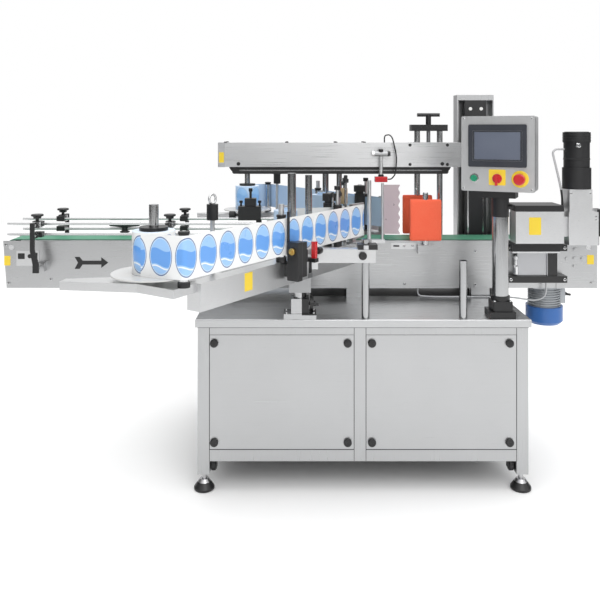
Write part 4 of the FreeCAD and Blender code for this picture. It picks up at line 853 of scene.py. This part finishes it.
def make_screws():
    side_face = -80.0
    conveyor = bmesh.new()
    for x, z in ((-1124, 782), (-1112, 636), (-952, 650), (670, 758), (670, 630), (400, 632), (-590, 632), (-590, 765), (60, 765)):
        screw_into(conveyor, x, side_face, z, 6.0, 3.4)
    for x, z in ((1118, 788), (1112, 638)):
        screw_into(conveyor, x, side_face - 4, z, 6.0, 3.4)
    fitted("conveyor_screws", conveyor, [polished, rubber], "base")
    beam = bmesh.new()
    for x in (410, 447.4):
        for z in (1088, 1163):
            screw_into(beam, (x - 300) * 3.867, -50.0, z, 6.0, 3.0)
    for x in (-290, -52, 140, 250):
        for y in (-34, 34):
            screw_into(beam, x, y, 1172.0, 6.5, 4.0, "Z")
    fitted("beam_screws", beam, [black_oxide, rubber], "top_beam")
    bars = bmesh.new()
    for x in (792, 994):
        for z in (659.5, 778.5):
            screw_into(bars, x, -128.0, z, 7.0, 4.0)
    fitted("bar_screws", bars, [polished, rubber], "base")
    base = bmesh.new()
    for dx in (-27, 27):
        for dy in (-27, 27):
            screw_into(base, 688 + dx, -352 + dy, 638.0, 5.5, 4.0, "Z")
    for dx in (-46, 46):
        screw_into(base, dx, -385.0, 600.0, 5.5, 4.0, "Z")
        screw_into(base, dx, -340.0, 600.0, 5.5, 4.0, "Z")
    fitted("base_screws", base, [polished, rubber], "base")
    boxes = bmesh.new()
    for x, z in ((1080, 905), (1080, 893), (990, 990), (1060, 990)):
        screw_into(boxes, x, -202.0, z, 4.0, 2.4)
    fitted("wrap_box_screws", boxes, [polished, rubber], "wrap_carriage")


# Round black cover knobs with a waist and a domed face
def knob_into(shape, x, y, z, axis="Y"):
    lean = FRONTWARD if axis == "Y" else AXES["X"]
    turned_into(shape,
                [(0, -0.5), (11, -0.5), (11, 1.5), (13.4, 2.2), (13.8, 4), (13.8, 7), (12.4, 9.2), (7, 10.4), (5, 10.5), (4.6, 9.6), (0, 9.6)],
                (x, y, z), lean, 28)


def make_cover_knobs():
    knobs = bmesh.new()
    for x in (-290, 161, 243, 708):
        for z in (501, 166):
            knob_into(knobs, x, -392.0, z)
    fitted("cover_knobs", knobs, [black_plastic], "base")


def make_stickers():
    plain = bmesh.new()
    outline_into(plain, rounded_outline(-1131, -1107, 703, 740, 2), -80.7, -79.9)
    outline_into(plain, rounded_outline(1096, 1122, 708, 744, 2), -84.7, -83.9)
    fitted("conveyor_stickers", plain, [yellow_plastic], "base")
    beam = bmesh.new()
    outline_into(beam, rounded_outline(-313, -294, 1095, 1135, 2), -50.6, -49.9)
    fitted("beam_sticker", beam, [yellow_plastic], "top_beam")
    box = bmesh.new()
    outline_into(box, rounded_outline(836, 880, 838, 902, 3), -202.7, -201.9)
    fitted("box_sticker", box, [yellow_plastic], "wrap_carriage")


# The plain arrow that shows which way the belt runs
def make_arrow():
    arrow = bmesh.new()
    x0, x1, z = -862.0, -733.0, 714.0
    outline = [(x0, z + 22), (x0 + 19, z + 22), (x0 + 31, z + 7.5), (x1 - 27, z + 7.5), (x1 - 27, z + 20.5), (x1, z),
               (x1 - 27, z - 20.5), (x1 - 27, z - 7.5), (x0 + 31, z - 7.5), (x0 + 19, z - 24), (x0, z - 24), (x0 + 13, z)]
    outline_into(arrow, outline, -80.5, -79.9)
    fitted("belt_arrow", arrow, [black_plastic], "base")
    plate = bmesh.new()
    outline_into(plate, rounded_outline(-1084, -998, 702, 760, 3), -82.0, -79.9)
    outline_into(plate, rounded_outline(-1078, -1052, 728, 750, 2), -82.8, -81.9, finish=1)
    outline_into(plate, rounded_outline(-1010, -1003, 712, 752, 2), -82.8, -81.9, finish=1)
    turned_into(plate, [(8, -0.2), (8, 3.4), (7, 4), (0, 4)], (-1032, -82.0, 739), FRONTWARD, 24, 1)
    fitted("end_switch_plate", plate, [aluminium, black_plastic], "base", bevel=0.3)


# ---------------------------------------------------------------- operator panel
HMI = (688.0, -352.0)
FACE_Y = -414.0


# Pieces of the panel are drawn square at the post and then turned with the box
def turned_with_box(shape):
    centre = Vector((HMI[0], HMI[1], 0)) * MM
    bmesh.ops.rotate(shape, verts=shape.verts, cent=centre, matrix=Matrix.Rotation(math.radians(-25), 3, "Z"))
    return shape


def frame_into(shape, outer, inner, low, high, finish=0):
    rings = [[shape.verts.new(Vector((a, y, b)) * MM) for a, b in outline] for outline,
             y in ((outer, low), (inner, low), (inner, high), (outer, high))]
    for one, two in zip(rings, rings[1:] + rings[:1]):
        for i in range(len(one)):
            j = (i + 1) % len(one)
            shape.faces.new([one[i], one[j], two[j], two[i]]).material_index = finish




def screen_glass():
    material, tree, shader = fresh_material("screen glass")
    place = new_node(tree, "ShaderNodeTexCoord")
    haze = new_node(tree, "ShaderNodeTexNoise")
    haze.inputs["Scale"].default_value = 7.0
    haze.inputs["Detail"].default_value = 1.0
    linked(tree, place.outputs["Object"], haze.inputs["Vector"])
    linked(tree, mixed(tree, haze.outputs[0], (0.085, 0.10, 0.14, 1), (0.17, 0.19, 0.24, 1)),
           shader.inputs["Base Color"])
    shader.inputs["Roughness"].default_value = 0.12
    shader.inputs["Coat Weight"].default_value = 0.6
    return material


def make_operator_panel():
    bezel_grey = plastic("bezel plastic", (0.022, 0.026, 0.036), roughness=0.38, dust=0.03, size=1500.0)
    bezel = bmesh.new()
    frame_into(bezel, rounded_outline(592.4, 783.6, 1096.4, 1239.6, 5),
               rounded_outline(607, 769, 1117, 1219, 2), -419.9, -413.9)
    frame_into(bezel, rounded_outline(607.2, 768.8, 1117.2, 1218.8, 2),
               rounded_outline(613, 763, 1122, 1214, 1), -419.3, -417.6)
    fitted("screen_bezel", turned_with_box(bezel), [bezel_grey], "hmi_box", bevel=0.5)
    glass = bmesh.new()
    outline_into(glass, rounded_outline(612.6, 763.4, 1121.6, 1214.4, 1), -418.4, -417.55)
    fitted("screen_glass", turned_with_box(glass), [screen_glass()], "hmi_box")
    plates = bmesh.new()
    outline_into(plates, rounded_outline(660.5, 715.5, 1035.5, 1088.5, 4), -416.4, -413.9)
    z = 1058.0
    turned_into(plates,
                [(12.6, -0.2), (28, -0.2), (28, 2.2), (26, 3.9), (19.5, 4.3), (12.6, 4.3), (12.6, -0.2)],
                (762, FACE_Y, z), FRONTWARD, 48)
    fitted("yellow_plates", turned_with_box(plates), [yellow_plastic], "hmi_box", bevel=0.3)
    rings = bmesh.new()
    turned_into(rings,
                [(11.3, -0.2), (15.6, -0.2), (15.6, 2.4), (14.6, 3.6), (12.2, 3.8), (11.3, 3.2), (11.3, -0.2)],
                (612, FACE_Y, z), FRONTWARD, 40)
    turned_into(rings, [(7.3, 0), (16.4, 0), (16.4, 3.4), (15.4, 4.2), (7.3, 4.2), (7.3, 0)],
                (688, FACE_Y, z), FRONTWARD, 40, 1)
    fitted("button_rings", turned_with_box(rings), [polished, red_plastic], "hmi_box")
    # folded edge of the door, and a thin gasket line
    door = bmesh.new()
    frame_into(door, rounded_outline(567.6, 808.4, 1013.6, 1268.4, 6),
               rounded_outline(569, 807, 1015, 1267, 5), -397.0, -395.2)
    fitted("door_gasket", turned_with_box(door), [rubber], "hmi_box")
    screws = bmesh.new()
    for x in (577, 799):
        for height in (1023, 1259):
            screw_into(screws, x, FACE_Y, height, 3.6, 1.8)
    fitted("door_screws", turned_with_box(screws), [polished, rubber], "hmi_box")


# ---------------------------------------------------------------- sensors and posts on the front head
def head_block_into(shape, x0, x1, t0, t1, z0, z1, finish=0):
    corners = [shape.verts.new(Vector((*head_spot(x, t), z)) * MM) for z in (z0, z1) for t in (t0, t1) for x in (x0, x1)]
    for a, b, c, d in ((0, 2, 3, 1), (4, 5, 7, 6), (0, 1, 5, 4), (2, 6, 7, 3), (0, 4, 6, 2), (1, 3, 7, 5)):
        shape.faces.new([corners[i] for i in (a, b, c, d)]).material_index = finish


def head_turned_into(shape, profile, x, t, finish=0, segments=28):
    turned_into(shape, profile, (*head_spot(x, t), 0), "Z", segments, finish)


def make_head_fittings():
    # black adjuster in front of the web, on the beam's face, with an upright edge guard
    adjuster = bmesh.new()
    head_block_into(adjuster, -517, -492, -52, -8, 742, 866)
    head_block_into(adjuster, -486, -457, -46, -8, 750, 862)
    head_block_into(adjuster, -494, -484, -42, -12, 746, 840)
    head_block_into(adjuster, -512, -462, -9, 6.5, 752, 792)
    head_block_into(adjuster, -518, -508, -14, -8, 860, 962)
    head_block_into(adjuster, -470, -452, -46, -20, 800, 836)
    fitted("web_adjuster", adjuster, [black_oxide], "head_front", bevel=1.6)
    brass = plastic("brass nut", (0.55, 0.36, 0.10), roughness=0.3, dust=0.03)
    brass.node_tree.nodes["Principled BSDF"].inputs["Metallic"].default_value = 0.9
    nut = bmesh.new()
    lean = Matrix.Rotation(HEAD_ANGLE, 3, "Z") @ Matrix(((0, 0, -1), (1, 0, 0), (0, -1, 0)))
    turned_into(nut, [(0, 0), (10, 0), (11, 1.5), (11, 7), (10, 8), (4, 8), (4, 11), (0, 11)],
                (*head_spot(-516.5, -30), 836), lean, 24)
    fitted("adjuster_nut", nut, [brass], "head_front")
    # red label sensor on a bracket, with its black clamp knob
    red_head = bmesh.new()
    head_block_into(red_head, -398, -384, -38, -22, 796, 852)
    fitted("label_sensor", red_head, [red_plastic], "head_front", bevel=1.5)
    bracket = bmesh.new()
    head_block_into(bracket, -402, -380, -40, 6.5, 784, 797)
    head_block_into(bracket, -383, -377, -34, -24, 797, 836)
    knob_lean = Matrix.Rotation(HEAD_ANGLE, 3, "Z") @ Matrix(((0, 0, 1), (1, 0, 0), (0, 1, 0)))
    turned_into(bracket, [(0, 0), (5, 0), (5, 6), (11, 7), (12, 10), (12, 22), (10, 25), (0, 25)],
                (*head_spot(-377, -30), 818), knob_lean, 24)
    fitted("label_sensor_bracket", bracket, [black_oxide], "head_front", bevel=0.8)
    # small capped pins and the tan pressure roller behind the web
    pins = bmesh.new()
    for x, t in ((-178, 30), (-150, 22), (-122, 34)):
        head_turned_into(pins, [(0, 799), (4, 799), (4, 980), (0, 980)], x, t, 0, 20)
        head_turned_into(pins,
                         [(0, 978), (7.5, 978), (8, 979), (8, 990), (6.5, 992), (4.5, 992), (4.5, 996), (0, 996)],
                         x, t, 1, 20)
    for x, t, top in ((-96, 24, 1028), (-70, 46, 1016)):
        head_turned_into(pins, [(0, 799), (5, 799), (5, top), (0, top)], x, t, 0, 20)
        head_turned_into(pins,
                         [(0, top - 2), (10, top - 2), (11, top), (11, top + 12), (7, top + 13), (7, top + 24), (5.5, top + 26), (0, top + 26)],
                         x, t, 1, 20)
    fitted("web_pins", pins, [polished, black_plastic], "head_front")
    tan = plastic("tan rubber roller", (0.50, 0.36, 0.20), roughness=0.6, dust=0.08, size=900.0,
                  strength=0.15)
    roller = bmesh.new()
    head_turned_into(roller, [(5, 944), (12, 944), (13, 946), (13, 1001), (12, 1003), (5, 1003)], -70, 46)
    fitted("pressure_roller", roller, [tan], "head_front")
    # the plain yellow patch on the beam
    patch = bmesh.new()
    head_block_into(patch, -713, -676, 5.4, 6.2, 742, 796)
    fitted("beam_patch", patch, [yellow_plastic], "head_front")
    # clamp and screw knob at the end of the cross beam
    clamp = bmesh.new()
    block_into(clamp, 196, 262, -398, -352, 817, 834)
    knob_into(clamp, 212, -392, 796)
    fitted("post_clamp", clamp, [black_plastic], "head_front", bevel=1.5)


def make_top_sensor():
    body = bmesh.new()
    block_into(body, 286.5, 334.8, -82.6, -55.4, 1021.4, 1042.6)
    fitted("product_sensor", body, [red_plastic], "top_beam", bevel=2.0)
    # dark side plate of the hold-down belt with a bright wear strip
    plates = bmesh.new()
    outline_into(plates, rounded_outline(-264, 578, 1050.5, 1077.9, 8), -33.0, -30.6)
    outline_into(plates, rounded_outline(-236, 552, 1061.5, 1066.5, 1), -34.0, -33.1, finish=1)
    outline_into(plates, rounded_outline(-264, 578, 1050.5, 1077.9, 8), 30.6, 33.0)
    fitted("belt_side_plates", plates, [black_oxide, polished], "top_beam")
    collars = bmesh.new()
    turned_into(collars, [(7.2, 1042), (11, 1042), (11, 1050), (7.2, 1051)], (311, -68, 0), "Z", 24)
    turned_into(collars, [(0, 1138), (9, 1138), (9, 1146), (7, 1148), (0, 1148)], (311, -68, 0), "Z", 24)
    fitted("sensor_collars", collars, [black_plastic], "top_beam")
    # end cap folded over the left end of the beam
    cap = bmesh.new()
    outline_into(cap, rounded_outline(-316.6, -291, 1077.4, 1172.6, 1.5), -50.5, -49.9)
    block_into(cap, -317.2, -315.9, -50.5, 50.5, 1077.4, 1172.6)
    fitted("beam_end_cap", cap, [aluminium], "top_beam")


# ---------------------------------------------------------------- cabinet and conveyor trim
def make_cover_seals():
    seals = bmesh.new()
    for x0, x1 in ((-306, 183), (223, 732)):
        frame_into(seals, rounded_outline(x0 - 1.0, x1 + 1.0, 140.5, 529.5, 0.6),
                   rounded_outline(x0 + 1.2, x1 - 1.2, 143.0, 528.5, 0.6), -392.5, -391.7)
        for x in (x0, x1):
            block_into(seals, x - 0.9, x + 0.9, -392.4, -391.8, 102, 141)
            block_into(seals, x - 0.9, x + 0.9, -392.4, -391.8, 529, 553)
    frame_into(seals, rounded_outline(-307.5, 733.5, 140.5, 529.5, 1),
               rounded_outline(-303.5, 729.5, 144.5, 525.5, 1), 391.7, 392.5)
    for x, out in ((-346, -1), (772, 1)):
        a, b = sorted((x + out * 0.5, x - out * 0.3))
        for y0, y1, z0, z1 in ((-353.5, 353.5, 140.5, 144.5), (-353.5, 353.5, 552, 556), (-353.5, -349.5, 140.5, 556), (349.5, 353.5, 140.5, 556)):
            block_into(seals, a, b, y0, y1, z0, z1)
    fitted("cover_seals", seals, [rubber], "base")
    # the shadow gap where the table top sits on the frame
    gap = bmesh.new()
    frame_points = ((-346.4, 772.4, -392.4, -391.8), (-346.4, 772.4, 391.8, 392.4),
                    (-346.4, -345.8, -392, 392), (771.8, 772.4, -392, 392))
    for x0, x1, y0, y1 in frame_points:
        block_into(gap, x0, x1, y0, y1, 552.5, 555.9)
    fitted("table_shadow_strip", gap, [rubber], "base")


def make_casters():
    casters = bmesh.new()
    for x in (-296, 722):
        for y in (-360, 360):
            block_into(casters, x - 14, x + 14, y - 14, y + 14, 96, 102.3)
            block_into(casters, x - 12, x - 9.5, y - 10, y + 16, 66, 97)
            block_into(casters, x + 9.5, x + 12, y - 10, y + 16, 66, 97)
            turned_into(casters, [(0, -8), (20, -8), (22, -6), (22, 6), (20, 8), (0, 8)], (x, y + 8, 76), "X",
                        28)
    fitted("casters", casters, [black_plastic], "base", bevel=0.5)


def make_guide_clamps():
    for node, sign, places in (("guide_front", -1, (-985.0, -482.0)), ("guide_rear", 1, (-955.0, -457.0))):
        clamps = bmesh.new()
        for x in places:
            for z in (822, 862):
                y0, y1 = sorted((sign * 67, sign * 99))
                block_into(clamps, x - 28, x + 4, y0, y1, z - 9, z + 11)
                turned_into(clamps, [(6.2, -2), (10, -2), (10, 8), (6.2, 8)], (x - 12, sign * 120, z), "Y",
                            20)
            turned_into(clamps,
                        [(0, 891.5), (12, 891.5), (21.5, 894.5), (23, 896), (23, 899), (21, 901.8), (0, 903)],
                        (x - 12, sign * 100, 0), "Z", 28)
        fitted(node + "_clamps", clamps, [black_plastic], node, bevel=1.2)
    # two-armed lever knob on the rear rods
    lever = bmesh.new()
    for side in (-1, 1):
        outline = [(-708, 838), (-708 + side * 22, 840), (-708 + side * 62, 848), (-708 + side * 66, 842),
                   (-708 + side * 58, 833), (-708 + side * 20, 829), (-708, 828)]
        outline_into(lever, outline if side > 0 else outline[::-1], 64, 82)
    turned_into(lever,
                [(0, 806), (14, 806), (20, 809), (20, 812), (12, 815), (12, 830), (14, 832), (14, 842), (10, 845), (0, 845)],
                (-708, 72, 0), "Z", 28)
    # a third clamp with a side knob and a stud, half way along the rear rods
    block_into(lever, -250, -158, 66, 116, 856, 912)
    block_into(lever, -224, -178, 72, 110, 912, 944)
    block_into(lever, -178, -156, 76, 100, 838, 856)
    turned_into(lever, [(0, 944), (5, 944), (5, 970), (8, 971), (8, 984), (0, 985)], (-201, 92, 0), "Z", 24)
    for x in (-240, -164):
        turned_into(lever, [(0, 912), (4, 912), (4, 924), (7, 925), (7, 934), (0, 935)], (x, 92, 0), "Z", 20)
    turned_into(lever,
                [(0, -288), (14, -288), (16, -286), (16, -266), (12, -262), (6, -260), (6, -250), (0, -250)],
                (0, 92, 876), "X", 28)
    fitted("rail_lever", lever, [black_plastic], "guide_rear", bevel=1.5)


def make_conveyor_plates():
    plate = bmesh.new()
    outline_into(plate, rounded_outline(348, 442, 766, 789, 2), -82.0, -79.9)
    fitted("slotted_plate", plate, [aluminium], "base", bevel=0.3)
    marks = bmesh.new()
    # the slot is a thin black rubber piece on the plate's face: painted shade for the hollow of the slot
    outline_into(marks, rounded_outline(356, 380, 775, 781, 3), -82.2, -81.9, finish=1)
    screw_into(marks, 398, -82, 778, 5.0, 2.6)
    screw_into(marks, 430, -82, 778, 5.0, 2.6)
    fitted("slotted_plate_screws", marks, [polished, rubber], "base")


# A black strip on the table under the belt: painted shade standing in for the shadow under the conveyor
def make_belt_shade_and_dancer_cap():
    # painted shade: a thin black slab where the table lies in the conveyor's shadow
    shade_strip = bmesh.new()
    block_into(shade_strip, 40, 712, -56, 60, 582.1, 584.4)
    fitted("conveyor_painted_shade", shade_strip, [rubber], "base")
    cap = bmesh.new()
    turned_into(cap, [(0, 1004.2), (24, 1004.2), (25.5, 1005.5), (25.5, 1008), (24, 1010), (0, 1010)],
                (-113.4, 699.4, 0), "Z", 36)
    fitted("dancer_cap", cap, [black_plastic], "head_rear")


def make_column_details():
    plate = bmesh.new()
    outline_into(plate, rounded_outline(676, 762, 1262, 1343, 2), 109.5, 112.2)
    fitted("column_top_plate", plate, [black_oxide], "base", bevel=0.4)
    holes = bmesh.new()
    for x in (698, 742):
        turned_into(holes, [(0, 0), (7, 0), (7, 0.8), (0, 0.8)], (x, 109.6, 1308), FRONTWARD, 24)
    white = plastic("pale plug", (0.80, 0.80, 0.78), roughness=0.4, dust=0.05)
    fitted("column_plugs", holes, [white], "base")
    grooves = bmesh.new()
    for x in (688, 750):
        block_into(grooves, x - 3, x + 3, 110.2, 112.4, 596, 1260)
    fitted("column_ribs", grooves, [polished], "base")


def make_wrap_details():
    ribs = bmesh.new()
    cx, cy = 1026.0, -160.0
    for z in (1180, 1190, 1200):
        turned_into(ribs, [(48.5, z), (49.8, z + 1), (49.8, z + 4), (48.5, z + 5)], (cx, cy, 0), "Z", 48)
    turned_into(ribs, [(0, 1212.5), (44, 1212.5), (41, 1215.2), (0, 1215.2)], (cx, cy, 0), "Z", 48)
    turned_into(ribs, [(45.8, 1110), (47.2, 1111), (47.2, 1117), (45.8, 1118)], (cx, cy, 0), "Z", 48)
    fitted("motor_ribs", ribs, [black_plastic], "wrap_carriage")
    plug = bmesh.new()
    turned_into(plug, [(0, -1), (9, -1), (9, 6), (7.5, 8), (7.5, 14), (5, 16), (0, 16)], (1012, -205, 1165),
                FRONTWARD, 24)
    fitted("motor_connector", plug, [polished], "wrap_carriage")
    link = bmesh.new()
    turned_into(link,
                [(0, 0), (9, 0), (10, 2), (10, 30), (7, 34), (7, 52), (9, 54), (9, 66), (5, 70), (0, 70)],
                (808, -134, 681), "Z", 24)
    block_into(link, 800, 816, -131, -127.5, 700, 716)
    fitted("bar_connector", link, [polished], "base")


def make_fittings():
    make_screws()
    make_cover_knobs()
    make_stickers()
    make_arrow()
    make_operator_panel()
    make_head_fittings()
    make_top_sensor()
    make_cover_seals()
    make_casters()
    make_guide_clamps()
    make_conveyor_plates()
    make_belt_shade_and_dancer_cap()
    make_column_details()
    make_wrap_details()


paint_cabinet()
paint_conveyor()
paint_heads()
paint_lift()
paint_panel()
paint_wrap_station()
make_webs()
orange = foam()
make_pad("front", orange)
make_pad("rear", orange)
make_fittings()
make_studio()
